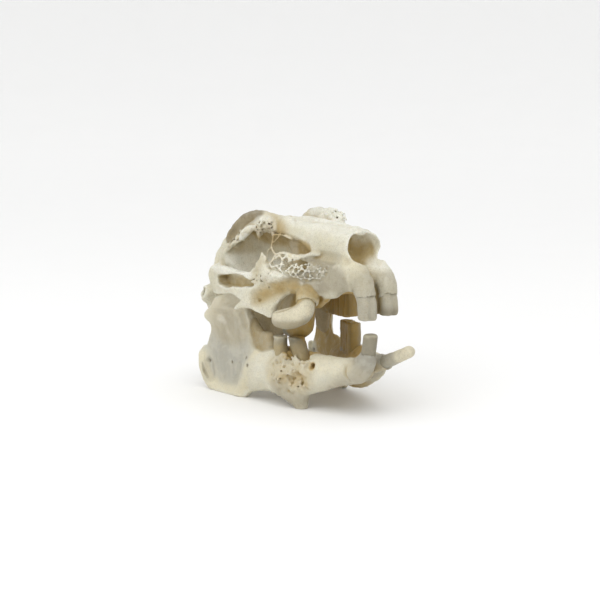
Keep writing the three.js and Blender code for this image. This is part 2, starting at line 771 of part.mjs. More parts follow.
// The origin is on the floor under the middle of the whole skull.
const whole = new THREE.Box3().setFromObject(skull);
const centre = whole.getCenter(new THREE.Vector3());
skull.position.set(-centre.x, -centre.y, 0);

const model = new THREE.Group();
model.add(skull);

export default model;
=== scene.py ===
import math
import time
import bpy
import numpy as np
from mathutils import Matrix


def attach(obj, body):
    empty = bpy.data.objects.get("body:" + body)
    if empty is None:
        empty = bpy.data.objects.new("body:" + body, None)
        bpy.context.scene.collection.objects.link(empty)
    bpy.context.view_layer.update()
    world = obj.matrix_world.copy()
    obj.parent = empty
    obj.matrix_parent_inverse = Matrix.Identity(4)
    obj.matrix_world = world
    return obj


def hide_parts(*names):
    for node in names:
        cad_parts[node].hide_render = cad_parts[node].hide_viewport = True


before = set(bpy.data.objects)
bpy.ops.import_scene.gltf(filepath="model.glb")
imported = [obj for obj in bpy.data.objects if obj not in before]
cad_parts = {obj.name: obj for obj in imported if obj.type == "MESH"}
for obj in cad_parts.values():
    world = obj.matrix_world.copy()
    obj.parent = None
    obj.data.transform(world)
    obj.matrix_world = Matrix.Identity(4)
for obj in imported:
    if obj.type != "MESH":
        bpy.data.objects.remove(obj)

import openvdb
from mathutils import Vector

startTime = time.time()
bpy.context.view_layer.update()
scene = bpy.context.scene

setup = {
    "shift": (-4.861, 0.0437, 0.0),  # mm, moves the skull's own centre line into the frame
    "boneCell": 0.22,  # mm, smaller is sharper and slower
    "toothCell": 0.2,
    "quickCell": 0.5,
    "quickToothCell": 0.35,
    "band": 4.0,  # mm, distances are kept this far from a surface
    "metres": 0.001,  # in a millimetre
    "foamLeast": 0.6,  # smallest foam cell, as a share of the largest
    "foamFade": 0.7,  # cell spacings over which foam dies out at its rim
    "foamRound": 0.15,
    "threadBlend": 0.3,
    "crumbRise": 0.3,  # how far a crumb stands out, in its own radii
    "crumbBlend": 0.4,
    "plainEdge": 0.25,  # rounding where a bone is cut off flat
}
sides = {"right": -1, "left": 1}  # sign of y; paths below are for the left side


def report(words):
    print("skull: %5.1f s  %s" % (time.time() - startTime, words))


# forms: each gives a signed distance in mm, the corners of its box and its blend

def flip(points, side):
    return [(x, y * side, z) for x, y, z in points]


def rod(*points, blend=0.5, **more):  # a bent round bar, x, y, z and radius at each point
    return {"path": [p[:3] for p in points], "radius": [p[3] for p in points], "blend": blend, **more}


def ball(centre, half, blend=0.5, **more):
    return {"centre": centre, "half": half, "blend": blend, **more}


def curveThrough(points, closed=False, steps=5):
    p = np.array(points, float)
    if len(p) < 3:
        return p
    if closed:
        p = np.vstack([p[-1], p, p[:2]])
    else:
        p = np.vstack([2 * p[0] - p[1], p, 2 * p[-1] - p[-2]])
    line = []
    for a, b, c, d in zip(p[:-3], p[1:-2], p[2:-1], p[3:]):
        for t in np.arange(steps) / steps:
            bend, twist = 2 * a - 5 * b + 4 * c - d, 3 * b - a - 3 * c + d
            line.append(0.5 * (2 * b + (c - a) * t + bend * t ** 2 + twist * t ** 3))
    if not closed:
        line.append(p[-2])
    return np.array(line)


def roundMax(a, b, k):  # the larger of two distances, with a rounded edge
    h = np.maximum(k - np.abs(a - b), 0) / k
    return np.maximum(a, b) + h * h * k / 4


def egg(spec, side=1):
    cx, cy, cz = flip([spec["centre"]], side)[0]
    ax, ay, az = spec["half"]
    tilt = math.radians(spec.get("tilt", 0))
    yaw = math.radians(spec.get("yaw", 0)) * side
    ct, st, cw, sw = math.cos(tilt), math.sin(tilt), math.cos(yaw), math.sin(yaw)

    def distance(x, y, z):
        x, y, z = x - cx, y - cy, z - cz
        x, y = x * cw + y * sw, y * cw - x * sw
        u, v, w = (x * ct + z * st) / ax, y / ay, (z * ct - x * st) / az
        near = np.sqrt(u * u + v * v + w * w)
        steep = np.sqrt((u / ax) ** 2 + (v / ay) ** 2 + (w / az) ** 2)
        return near * (near - 1) / np.maximum(steep, 1e-5)

    reach = max(ax, ay, az)
    low = np.array([cx, cy, cz]) - reach
    return distance, low, low + 2 * reach, spec.get("blend", 0.5)


def tube(spec, side=1):
    path = flip(spec["path"], side)
    line = curveThrough([tuple(p) + (r,) for p, r in zip(path, spec["radius"])])
    wx, wy, wz = spec.get("weights", (1, 1, 1))
    flat = spec.get("flat")
    flatSign = 1 if flat is None or flat > path[0][2] else -1
    spans = [tuple(map(float, (*a, *(b - a)))) for a, b in zip(line[:-1], line[1:])]

    def distance(x, y, z):
        best = None
        for ax, ay, az, ar, ex, ey, ez, er in spans:
            ex, ey, ez = ex * wx, ey * wy, ez * wz
            u, v, w = (x - ax) * wx, (y - ay) * wy, (z - az) * wz
            t = np.clip((u * ex + v * ey + w * ez) / max(ex * ex + ey * ey + ez * ez, 1e-9), 0, 1)
            d = np.sqrt((u - t * ex) ** 2 + (v - t * ey) ** 2 + (w - t * ez) ** 2) - (ar + t * er)
            best = d if best is None else np.minimum(best, d)
        best = best / max(wx, wy, wz)
        if flat is not None:
            best = roundMax(best, (z - flat) * flatSign, spec.get("edge", 0.4))
        return best

    reach = float(line[:, 3].max()) / min(wx, wy, wz)
    return distance, line[:, :3].min(0) - reach, line[:, :3].max(0) + reach, spec.get("blend", 0.5)


def outlineDistance(x, z, corners):
    best = np.full(np.broadcast(x, z).shape, 1e9, np.float32)
    inside = np.zeros(best.shape, bool)
    for (ax, az), (bx, bz) in zip(corners, corners[1:] + corners[:1]):
        ex, ez = bx - ax, bz - az
        t = np.clip(((x - ax) * ex + (z - az) * ez) / max(ex * ex + ez * ez, 1e-9), 0, 1)
        best = np.minimum(best, (x - ax - t * ex) ** 2 + (z - az - t * ez) ** 2)
        if abs(ez) > 1e-9:
            inside ^= ((az > z) != (bz > z)) & (x < ex * (z - az) / ez + ax)
    return np.where(inside, -1, 1) * np.sqrt(best)


def sheet(spec, middle):  # outline in x and z, middle(x, z) gives y
    corners = [tuple(map(float, c)) for c in curveThrough(spec["outline"], closed=True)]
    half, edge = spec["thickness"] / 2, spec.get("edge", 0.7)

    def distance(x, y, z):
        flat = outlineDistance(x, z, corners) + edge
        across = np.abs(y - middle(x, z)) - half + edge
        outside = np.hypot(np.maximum(flat, 0), np.maximum(across, 0))
        return np.minimum(np.maximum(flat, across), 0) + outside - edge

    c = np.array(corners)
    y = np.array([float(middle(np.float64(a), np.float64(b))) for a, b in corners])
    low = np.array([c[:, 0].min(), y.min() - 2 * half, c[:, 1].min()])
    high = np.array([c[:, 0].max(), y.max() + 2 * half, c[:, 1].max()])
    return distance, low, high, spec.get("blend", 0.5)


def seam(spec, side=1):  # a wandering line seen from above
    line = curveThrough(flip([(x, y, 0) for x, y in spec["line"]], side), steps=16)[:, :2]
    along = np.gradient(line, axis=0)
    across = np.stack([-along[:, 1], along[:, 0]], 1) / np.linalg.norm(along, axis=1, keepdims=True)
    line = line + spec["wander"] * np.random.default_rng(len(line)).uniform(-1, 1, (len(line), 1)) * across
    spans = [tuple(map(float, (*a, *(b - a)))) for a, b in zip(line[:-1], line[1:])]

    def distance(x, y, z):
        best = 1e9
        for ax, ay, ex, ey in spans:
            u, v = x - ax, y - ay
            t = np.clip((u * ex + v * ey) / max(ex * ex + ey * ey, 1e-9), 0, 1)
            best = np.minimum(best, (u - t * ex) ** 2 + (v - t * ey) ** 2)
        return np.sqrt(best)

    low, high = [*line.min(0), spec["above"]], [*line.max(0), spec["below"]]
    return distance, np.array(low), np.array(high), 0.5


def shapeOf(spec, side=1):
    if "path" in spec:
        return tube(spec, side)
    return seam(spec, side) if "line" in spec else egg(spec, side)


def eased(x):
    x = np.clip(x, 0, 1)
    return x * x * (3 - 2 * x)


def lumps(points, size, seed):  # smooth random numbers from -1 to 1, one lump for each size
    table = np.random.default_rng(seed).uniform(-1, 1, (32, 32, 32)).astype(np.float32)
    p = points / size
    i = np.floor(p).astype(int)
    f = eased(p - i)
    total = 0
    for corner in range(8):
        k = np.array([corner & 1, corner >> 1 & 1, corner >> 2 & 1])
        part = np.prod(np.where(k, f, 1 - f), axis=1)
        total = total + part * table[tuple(((i + k) % 32).T)]
    return total


class BoneField:  # a box of distances that forms are fused to and carved from
    def __init__(self, low, high, cell):
        self.low, self.cell = np.array(low, float), cell
        count = np.ceil((np.array(high, float) - self.low) / cell).astype(int) + 1
        self.values = np.full(count, setup["band"], np.float32)

    def twin(self):
        other = BoneField(self.low, self.low, self.cell)
        other.values = self.values.copy()
        return other

    def block(self, low, high, margin):
        first = np.maximum(np.floor((low - margin - self.low) / self.cell).astype(int), 0)
        last = np.minimum(np.ceil((high + margin - self.low) / self.cell).astype(int) + 1, self.values.shape)
        if (last <= first).any():
            return None
        axes = [self.low[k] + self.cell * np.arange(first[k], last[k]) for k in range(3)]
        x, y, z = [axis.astype(np.float32) for axis in axes]
        where = tuple(slice(a, b) for a, b in zip(first, last))
        return where, x[:, None, None], y[None, :, None], z[None, None, :]

    def blendIn(self, form, change):
        distance, low, high, blend = form
        found = self.block(low, high, blend + 2 * self.cell)
        if found is not None:
            where, x, y, z = found
            self.values[where] = change(self.values[where], distance(x, y, z), blend)
        return self

    def fuse(self, form):
        return self.blendIn(form, lambda now, added, k: -roundMax(-now, -added, k))

    def carve(self, form):
        return self.blendIn(form, lambda now, taken, k: roundMax(now, -taken, k))

    def add(self, side, *specs):
        for spec in specs:
            self.fuse(shapeOf(spec, side))
        return self

    def cut(self, side, *specs):
        for spec in specs:
            self.carve(shapeOf(spec, side))
        return self

    def dent(self, side, *specs):
        for spec in specs:
            self.press(shapeOf(spec, side), spec["depth"], spec["reach"])
        return self

    def press(self, form, depth, reach):  # pushes the surface in near a form, or out
        distance, low, high, blend = form
        found = self.block(low, high, reach)
        if found is not None:
            where, x, y, z = found
            self.values[where] += (depth * eased(1 - distance(x, y, z) / reach)).astype(np.float32)
        return self

    def roughen(self, amount, size, seed, form=None, reach=1.0):
        near = np.argwhere(np.abs(self.values) < 3 * self.cell + amount)
        points = self.low + self.cell * near
        if form is not None:
            weight = eased(1 - form[0](*points.T) / reach)
            near, points, weight = near[weight > 0], points[weight > 0], weight[weight > 0]
        else:
            weight = 1
        index = tuple(near.T)
        self.values[index] += (amount * weight * lumps(points, size, seed)).astype(np.float32)
        return self

    def grain(self, side, spec):
        for grain in spec["grains"]:
            self.roughen(*grain, shapeOf(spec, side), spec["grainReach"])
        return self

    def surfacePoints(self, form, count, seed):  # seeded places on the surface inside a form
        distance, low, high, blend = form
        where, x, y, z = self.block(low, high, 0)
        near = (np.abs(self.values[where]) < 0.6 * self.cell) & (distance(x, y, z) < 0)
        cells = np.argwhere(near) + [s.start for s in where]
        if len(cells) == 0:
            return []
        pick = np.random.default_rng(seed).permutation(len(cells))[:count]
        return [(self.low + self.cell * c, self.slope(c)) for c in cells[pick]]

    def slope(self, c):
        c = np.clip(c, 1, np.array(self.values.shape) - 2)
        g = [self.values[tuple(c + e)] - self.values[tuple(c - e)] for e in np.eye(3, dtype=int)]
        return np.array(g, float) / max(float(np.linalg.norm(g)), 1e-6)

    def foam(self, spec, side, seed):  # round cells that leave thin struts, as in spongy bone
        distance, low, high, blend = egg(spec, side)
        where, x, y, z = self.block(low, high, 0)
        inside, start = distance(x, y, z), [s.start for s in where]
        cells = np.argwhere((inside < 0) & (np.abs(self.values[where]) < spec["depth"]))
        index = tuple((cells + start).T)
        p = (self.low + self.cell * (cells + start)) / spec["spacing"]
        corner, best = np.floor(p).astype(int), np.full(len(p), 9.0)
        table, least = np.random.default_rng(seed).uniform(0, 1, (16, 16, 16, 4)), setup["foamLeast"]
        for k in np.ndindex(3, 3, 3):
            near = corner + k - 1
            pick = table[tuple((near % 16).T)]
            room = spec["room"] * (least + (1 - least) * pick[:, 3])
            best = np.minimum(best, np.linalg.norm(p - near - pick[:, :3], axis=1) - room)
        rim = setup["foamFade"] * spec["spacing"]
        fade = 1 - eased(-inside[tuple(cells.T)] / rim)  # cells shrink towards the edge
        best = (best + fade * spec["room"]) * spec["spacing"]
        self.values[index] = roundMax(self.values[index], -best, setup["foamRound"] * spec["spacing"])
        return self

    def netPoints(self, spec, side, seed):  # places just under the surface that keep a gap from each other
        kept = []
        for p, n in self.surfacePoints(egg(spec, side), spec["tries"], seed):
            p = p - spec["inset"] * n
            if all(np.linalg.norm(p - q) > spec["gap"] for q in kept):
                kept.append(p)
        return kept

    def net(self, kept, spec, seed):  # thin threads between neighbours
        thin = np.random.default_rng(seed).uniform(*spec["thread"], len(kept))
        for i, p in enumerate(kept):
            for j, q in enumerate(kept[:i]):
                if np.linalg.norm(p - q) < spec["link"] * spec["gap"]:
                    self.add(1, rod((*p, thin[i]), (*q, thin[j]), blend=setup["threadBlend"]))
        return self

    def crumbs(self, spec, side, seed):
        sizes = np.random.default_rng(seed + 1).uniform(*spec["crumbSize"], spec["crumbs"])
        for (p, n), r in zip(self.surfacePoints(egg(spec, side), spec["crumbs"], seed), sizes):
            self.add(1, ball(p + setup["crumbRise"] * r * n, (r, r, r), blend=setup["crumbBlend"]))
        return self

    def keepAbove(self, height):
        z = self.low[2] + self.cell * np.arange(self.values.shape[2])
        past = (height - z).astype(np.float32)[None, None, :]
        self.values = roundMax(self.values, past, setup["plainEdge"])
        return self

    def keepSide(self, side, gap):
        y = self.low[1] + self.cell * np.arange(self.values.shape[1])
        past = (gap - y * side).astype(np.float32)[None, :, None]
        self.values = roundMax(self.values, past, setup["plainEdge"])
        return self

    def at(self, points, values):  # values between the cells
        p = np.clip((points - self.low) / self.cell, 0, np.array(values.shape) - 1.001)
        i = p.astype(int)
        f = p - i
        total = 0
        for corner in range(8):
            k = np.array([corner & 1, corner >> 1 & 1, corner >> 2 & 1])
            total = total + np.prod(np.where(k, f, 1 - f), axis=1) * values[tuple((i + k).T)]
        return total

    def solidShare(self, points, radius):  # how much of the room round a point is bone
        full = np.clip(0.5 - self.values / self.cell, 0, 1)
        n = max(int(round(radius / self.cell)), 1)
        for axis in range(3):
            pad = [(0, 0)] * 3
            pad[axis] = (n + 1, n)
            total = np.cumsum(np.pad(full, pad, mode="edge"), axis=axis, dtype=np.float64)
            a = np.take(total, np.arange(2 * n + 1, total.shape[axis]), axis=axis)
            b = np.take(total, np.arange(0, total.shape[axis] - 2 * n - 1), axis=axis)
            full = ((a - b) / (2 * n + 1)).astype(np.float32)
        return self.at(points, full)

    def mesh(self):
        grid = openvdb.FloatGrid(background=setup["band"])
        grid.copyFromArray(self.values)
        grid.transform = openvdb.createLinearTransform(voxelSize=self.cell)
        points, quads = grid.convertToQuads(isovalue=0.0)
        return points + self.low, quads


# skull above the jaw

cranium = {
    "low": (-36, -20, 13), "high": (40, 20, 49),
    "braincase": ball((-15.5, 0, 33), (15, 11.8, 10), tilt=14, blend=1),
    "seams": [
        {
            "line": [(-27, 0), (-18, 0.2), (-8, -0.2), (4, 0.2), (14, 0), (23, 0)], "wander": 0.3,
            "above": 39, "below": 48},
        {
            "line": [(-8.4, 0), (-9, 2.4), (-10.6, 4.8), (-12.6, 7.6)], "wander": 0.35, "above": 39,
            "below": 48},
        {"line": [(2.6, 0), (5.4, 1.8), (4.2, 4), (7.6, 5.4)], "wander": 0.45, "above": 41, "below": 48},
        {
            "line": [(-24.6, 0), (-25.4, 3), (-24.4, 6), (-22.6, 8.4)], "wander": 0.3, "above": 34,
            "below": 48}],
    "seamPress": (0.2, 0.45),  # depth and reach
    "neckRidge": rod(
        (-27.8, 0, 38.4, 0.7), (-27.4, 4.4, 37, 0.7), (-26.4, 8, 33.8, 0.7), (-25.6, 9.8, 29.8, 0.5),
        blend=1.4),
    "skullBase": rod((-30, 0, 25, 3.5), (-20, 0, 24.5, 3.5), (-8, 0, 26, 3), (4, 0, 28.5, 3.2), blend=3),
    "occiput": ball((-28, 0, 27.5), (3.5, 10, 7), blend=3),
    "condyle": ball((-31, 3.2, 23.5), (2.6, 1.9, 2.6), blend=1),
    "spinalOpening": ball((-32, 0, 27.2), (8, 3.3, 2.9), tilt=8),
    "earBulb": ball((-24, 8.5, 21.5), (5.5, 4.3, 5.3), blend=1.5),
    "earTube": rod((-25, 9.5, 23.8, 2.7), (-24.2, 12.7, 23.4, 2.4), blend=1.5),
    "earOpening": rod((-24.8, 14.8, 24, 1.4), (-24.6, 11.4, 23.8, 1), blend=0.4),
    "snoutRoof": rod(
        (-12, 4, 39, 4.5), (0, 3.8, 40.3, 4.2), (12, 3.4, 40, 4), (21, 2.6, 39.8, 3.8),
        (26, 1.9, 39.5, 3.6), blend=2),
    "maxilla": rod(
        (3, 4.2, 33, 4.6), (12, 4.4, 32.8, 4.5), (20, 4, 32.3, 4.2), (26, 3.4, 33.1, 3.2),
        (30.4, 3, 31.8, 2.6), blend=2.5),
    "incisorBone": rod(
        (25, 3.2, 34.6, 3.2), (29.9, 3.1, 33.9, 2.7), (32.6, 3.1, 31.4, 2.4), (33.6, 3.05, 27.4, 2.26),
        flat=28, edge=0.1, blend=1.2),
    "cheekMargin": rod(
        (12, 7.4, 29.9, 1.5), (19, 6.6, 29.6, 1.4), (23.6, 5.9, 28.8, 1.5), (27, 5, 31, 1.2),
        (30, 4, 32.2, 1.1), blend=1.8),
    "palate": rod(
        (0, 0, 28.6, 1.5), (11, 0, 28.6, 1.5), (21, 0, 29.4, 1.5), weights=(1, 0.28, 1), blend=1.5),
    "palateWing": {
        "right": [(5, 28), (3.8, 18.4), (0.4, 14.8), (-7, 14.8), (-12.5, 18.4), (-14, 28)],
        "left": [(5, 28), (3.8, 18.4), (1.4, 15), (-1.6, 16), (-2.2, 20), (-2.6, 24), (-6, 26), (-14, 28)],
        "thickness": 1.3, "offset": 4.8, "flare": 0.14, "top": 28, "blend": 1},
    "orbit": ball((-2.5, 13.2, 35.8), (13.5, 9, 7.6), blend=1.5),
    "browRecess": rod(
        (-2, 10.4, 38.4, 3.4), (5, 9.3, 38.4, 3.2), (11, 8.2, 37.9, 2.5), (14.6, 7.2, 37.5, 1.2),
        blend=0.6),
    "browEdge": rod(
        (-0.9, 7.6, 41.5, 0.5), (2.3, 7.2, 42, 0.55), (6.9, 6.7, 41.1, 0.6), (12.3, 6.4, 39.8, 0.6),
        (15.4, 6.1, 38.4, 0.6), (17.5, 5.9, 37.5, 0.5), blend=1),
    "browWing": {
        "right": [
            (3, 5.5, 43), (-3.5, 7.6, 44.4), (-7.6, 8.6, 44.4), (-11, 9.2, 43.2), (-14, 10.4, 40.4),
            (-18.5, 10.4, 36)],
        "left": [
            (5, 8.6, 42.2), (1.8, 9.6, 43.9), (-2.5, 9.7, 44.6), (-7, 9, 44.4), (-10.5, 8.8, 43.3),
            (-16, 9.8, 39.5)],
        "radius": (1.6, 1.7, 1.7, 1.7, 1.5, 1.3), "blend": 2.5},
    "browWeb": rod((-1, 9.2, 43.4, 1.4), (-8.5, 10.4, 41.6, 1.5), (-14, 10.7, 38.4, 1.4), blend=1.5),
    "orbitRim": {
        "right": [
            (-3.7, 10.5, 43.3), (-5.4, 11.5, 42), (-8.4, 12.2, 39.3), (-11.9, 12.3, 37.5),
            (-16, 11.7, 35.6), (-20.5, 10.3, 32.6)],
        "left": [
            (1, 8, 42.6), (-2.8, 10.6, 43), (-9, 11.7, 39.6), (-13, 11.7, 37.4), (-16, 11.3, 35.6),
            (-20.5, 10.3, 32.6)],
        "radius": (0.4, 1, 0.75, 0.5, 0.6, 0.8), "blend": 0.5},
    "wingHollow": rod((-4.6, 11, 45, 1.1), (-9, 12, 42.6, 1.7), (-14, 12.6, 39.4, 1.4), blend=0.6),
    "browLeaf": rod(
        (-3, 11.3, 42.5, 0.3), (-4.3, 12.3, 41.6, 0.85), (-5.9, 12.9, 40.2, 0.9), (-7.4, 12.9, 39, 0.2),
        blend=0.15),
    "bladeGroove": rod(
        (-4.4, 10.8, 44, 0.35), (-7, 11.6, 42, 0.6), (-10, 12, 39.6, 0.5), (-13, 12.2, 38, 0.3),
        blend=0.25),
    "rimCrumbs": ball(
        (-10.5, 12.2, 38.6), (5, 1.6, 2.4), tilt=30, spacing=0.9, room=0.42, depth=0.6, crumbs=24,
        crumbSize=(0.25, 0.5)),
    "browSpike": rod((-3.1, 10, 41.8, 0.6), (-2.8, 10.1, 39.4, 0.12)),
    "browCrumbs": ball(
        (-1.4, 9.2, 42.6), (3.6, 2.4, 2.4), spacing=0.7, room=0.54, depth=0.6, crumbs=90,
        crumbSize=(0.15, 0.36)),
    "archBow": (33, -6, 0.0187),  # width over both arches, x of the widest place, curve
    "archSheet": {
        "outline": [
            (-23.5, 29.5), (-11.7, 32.3), (0.4, 31.9), (3.7, 33), (4.9, 35), (6.9, 34.6), (9.6, 37.1),
            (13.4, 37), (16.6, 36.4), (16, 33), (12.7, 28.9), (9, 24), (8.1, 21.3), (4.4, 22.5),
            (2.2, 23.3), (0.4, 24.5), (-1.4, 25.4), (-5, 25.8), (-21, 24.6)],
        "thickness": 2, "edge": 0.5, "blend": 1.2},
    "archSlit": {
        "outline": [
            (-12.8, 29.6), (-11, 27.6), (-2.8, 27.9), (1.2, 28.6), (2.4, 28.3), (4, 29.1), (3, 29.8),
            (4.2, 30.6), (2.2, 30.4), (-0.4, 31), (-6.8, 30.8)],
        "thickness": 4.4, "edge": 0.3, "blend": 0.4},
    "slitBack": rod((-13.5, 13.6, 28.8, 1.8), (-6, 14.5, 28.8, 1.9), (3.5, 13, 29, 1.9), blend=0.8),
    "archRootBack": rod((-21, 9, 29, 3), (-19.5, 12.5, 28.5, 2.4), blend=2),
    "archRootFront": rod((15, 7.5, 33, 3), (9, 12, 31.5, 2.2), blend=2),
    "archHook": rod(
        (2.8, 15.4, 24.8, 1.2), (0, 16.2, 23.9, 0.85), (-2.4, 16.7, 22.9, 0.5), (-4.8, 16.9, 21.8, 0.1),
        blend=0.7),
    "cheekDent": rod(
        (4.8, 15.4, 26, 0.5), (8.4, 14.4, 27.7, 0.8), (11.6, 12.8, 28.9, 0.7), (14.6, 11.4, 29.8, 0.4),
        depth=1.3, reach=2.4, grains=[(0.35, 0.9, 13)], grainReach=1.8),
    "cheekBack": rod(
        (4, 13.6, 26, 1.3), (8, 12.6, 27.6, 1.7), (11.6, 11, 29, 1.9), (15, 9, 30, 2), blend=1),
    "snoutValley": rod(
        (17.8, 6.6, 36.9, 0.2), (21, 6.4, 36.8, 0.3), (25, 5.4, 36.6, 0.3), (28.4, 4.6, 35.8, 0.2),
        depth=0.55, reach=1.6),
    "archDent": rod(
        (-15, 16.4, 25.6, 0.3), (-9, 17.6, 25.8, 0.4), (-4, 17.6, 26, 0.3), depth=0.4, reach=1.2),
    "archSpike": rod(
        (7, 14.1, 32.6, 2.1), (6.4, 14.2, 34.4, 1.4), (5.3, 14.2, 36.8, 0.15), weights=(1, 1.6, 1),
        blend=0.6),
    "cheekPits": [
        rod((6.4, 15.6, 30.6, 0.4), (5.6, 12.6, 30.2, 0.3), blend=0.25),
        rod((6.8, 15.2, 31.6, 0.3), (6.2, 13, 31.2, 0.25), blend=0.25)],
    "laceRidge": rod(
        (8, 11.9, 36, 0.3), (9.5, 11.6, 37, 0.36), (11.6, 10.7, 37, 0.36), (13.4, 9.9, 36.7, 0.36),
        (15.6, 8.7, 36.6, 0.4), (16.6, 7.5, 37.2, 0.5), (18.4, 6.2, 37.4, 0.45), blend=0.7),
    "laceStruts": [
        rod(
            (0.8, 8.2, 41.2, 0.4), (2, 9, 40, 0.27), (2.7, 9.8, 37.9, 0.27), (6, 11, 36.7, 0.3),
            (8.6, 11.6, 36.7, 0.4), blend=0.35),
        rod(
            (1.1, 8.6, 40.7, 0.3), (3.2, 8.6, 40.9, 0.24), (5.3, 8.2, 40.9, 0.22), (7.9, 7.4, 40.3, 0.3),
            blend=0.3),
        rod((2.6, 9.2, 39, 0.24), (4, 9, 40, 0.2), (4.2, 8.4, 40.9, 0.22), blend=0.3),
        rod((2.7, 9.8, 37.8, 0.24), (1.6, 10.4, 36.6, 0.18), (3.4, 11.4, 35.2, 0.12), blend=0.3),
        rod((7.5, 11.7, 36.2, 0.35), (7.5, 12.6, 35.1, 0.3), (7.2, 13.2, 33.8, 0.5), blend=0.35)],
    "lacePocket": rod((10.6, 9.2, 35, 1.1), (14, 7.6, 34.4, 1.1), (18.5, 5.9, 33.2, 0.8), blend=0.4),
    "laceHoles": [
        rod((11.4, 13.4, 36.1, 1), (10.8, 9.4, 35.4, 0.9), blend=0.3),
        rod((10.2, 12.6, 34.6, 0.5), (12.2, 12, 33.6, 0.5), blend=0.25),
        rod((11.2, 12.2, 34.1, 0.45), (11.6, 9.4, 34.6, 0.45), blend=0.25),
        rod((15.2, 11, 35, 0.6), (15.9, 10.4, 33.6, 0.55), blend=0.25),
        rod((15.6, 10.8, 34.3, 0.55), (15, 8.2, 34.4, 0.5), blend=0.25)],
    "laceRear": ball(
        (12.5, 11.4, 34.8), (5.1, 2.4, 2.2), yaw=-25, spacing=1.05, room=0.56, depth=1.1, sunk=0.6,
        tries=900, inset=0.16, gap=1.15, link=1.55, thread=(0.12, 0.24)),
    "laceFront": ball(
        (17.6, 9, 33.4), (6.2, 2.4, 2.2), yaw=-25, spacing=0.75, room=0.45, depth=0.5, sunk=0.38, tries=900,
        inset=0.2, gap=0.85, link=1.5, thread=(0.1, 0.18)),
    "cheekRough": ball(
        (7.6, 14, 31), (5.4, 2.6, 3.4), spacing=0.9, room=0.32, depth=0.3, grains=[(0.3, 1, 12)],
        grainReach=1.5),
    "laceDent": ball((17.6, 8.6, 35.8), (2.2, 0.8, 0.8), yaw=-30, depth=0.5, reach=1.2),
    "socketWall": {
        "outline": [(0, 30), (20, 30), (19.5, 26), (14, 23.5), (6, 23), (0, 25)], "offset": 4.8,
        "thickness": 1.5, "blend": 1},
    "socketCollar": rod((14.2, 7, 28, 2.5), (17.1, 8.7, 26.4, 2.75), blend=0.9),
    "upperRidge": rod((16, 6.2, 29, 2.4), (8, 7, 28.5, 2.6), (0, 7.8, 28.5, 2.4), blend=1),
    "noseOpening": ball((31, 0.2, 39.5), (8.6, 5.15, 4.15), blend=0.3),
    "noseNotch": rod((26, 0, 36.6, 1.2), (32, 0, 35.2, 1), blend=1),
    "noseRoof": rod(
        (14, 0, 42.7, 1.2), (22, 0, 42.9, 0.9), (26.6, 0, 42.7, 0.5), weights=(1, 0.4, 1), blend=0.6),
    "farLump": ball(
        (1.8, 9.6, 44.6), (4.6, 2, 1.9), spacing=0.8, room=0.5, depth=0.8, crumbs=60,
        crumbSize=(0.25, 0.5)),
    "farThreads": [
        rod(
            (4.4, 9.4, 44, 0.3), (5.6, 9.6, 44.6, 0.2), (6.3, 9.6, 43.8, 0.18), (6.6, 9.4, 44.5, 0.12),
            blend=0.3),
        rod((3.6, 9.8, 44.8, 0.3), (4.8, 10, 45.4, 0.2), (5.4, 9.8, 44.9, 0.15), blend=0.3),
        rod((5.2, 9, 43.2, 0.3), (6.4, 9, 43.3, 0.2), (6.8, 9.2, 42.6, 0.15), blend=0.3)],
    "grains": [(0.24, 3.4, 3), (0.15, 1.4, 4), (0.07, 0.7, 8)],  # height and size in mm, seed
    "seeds": {
        "cheekFoam": 28, "laceNet": 80, "laceFoam": 20, "laceThread": 90, "browCrumbs": 30, "browFoam": 40,
        "rimCrumbs": 44, "rimFoam": 46, "lumpCrumbs": 50, "lumpFoam": 51},
}


def archMiddle(side):
    width, widest, rate = cranium["archBow"]
    return lambda x, z: side * (width / 2 - rate * (x - widest) ** 2) + 0 * z


def wingMiddle(side):
    wing = cranium["palateWing"]
    return lambda x, z: side * (wing["offset"] + wing["flare"] * (wing["top"] - z)) + 0 * x


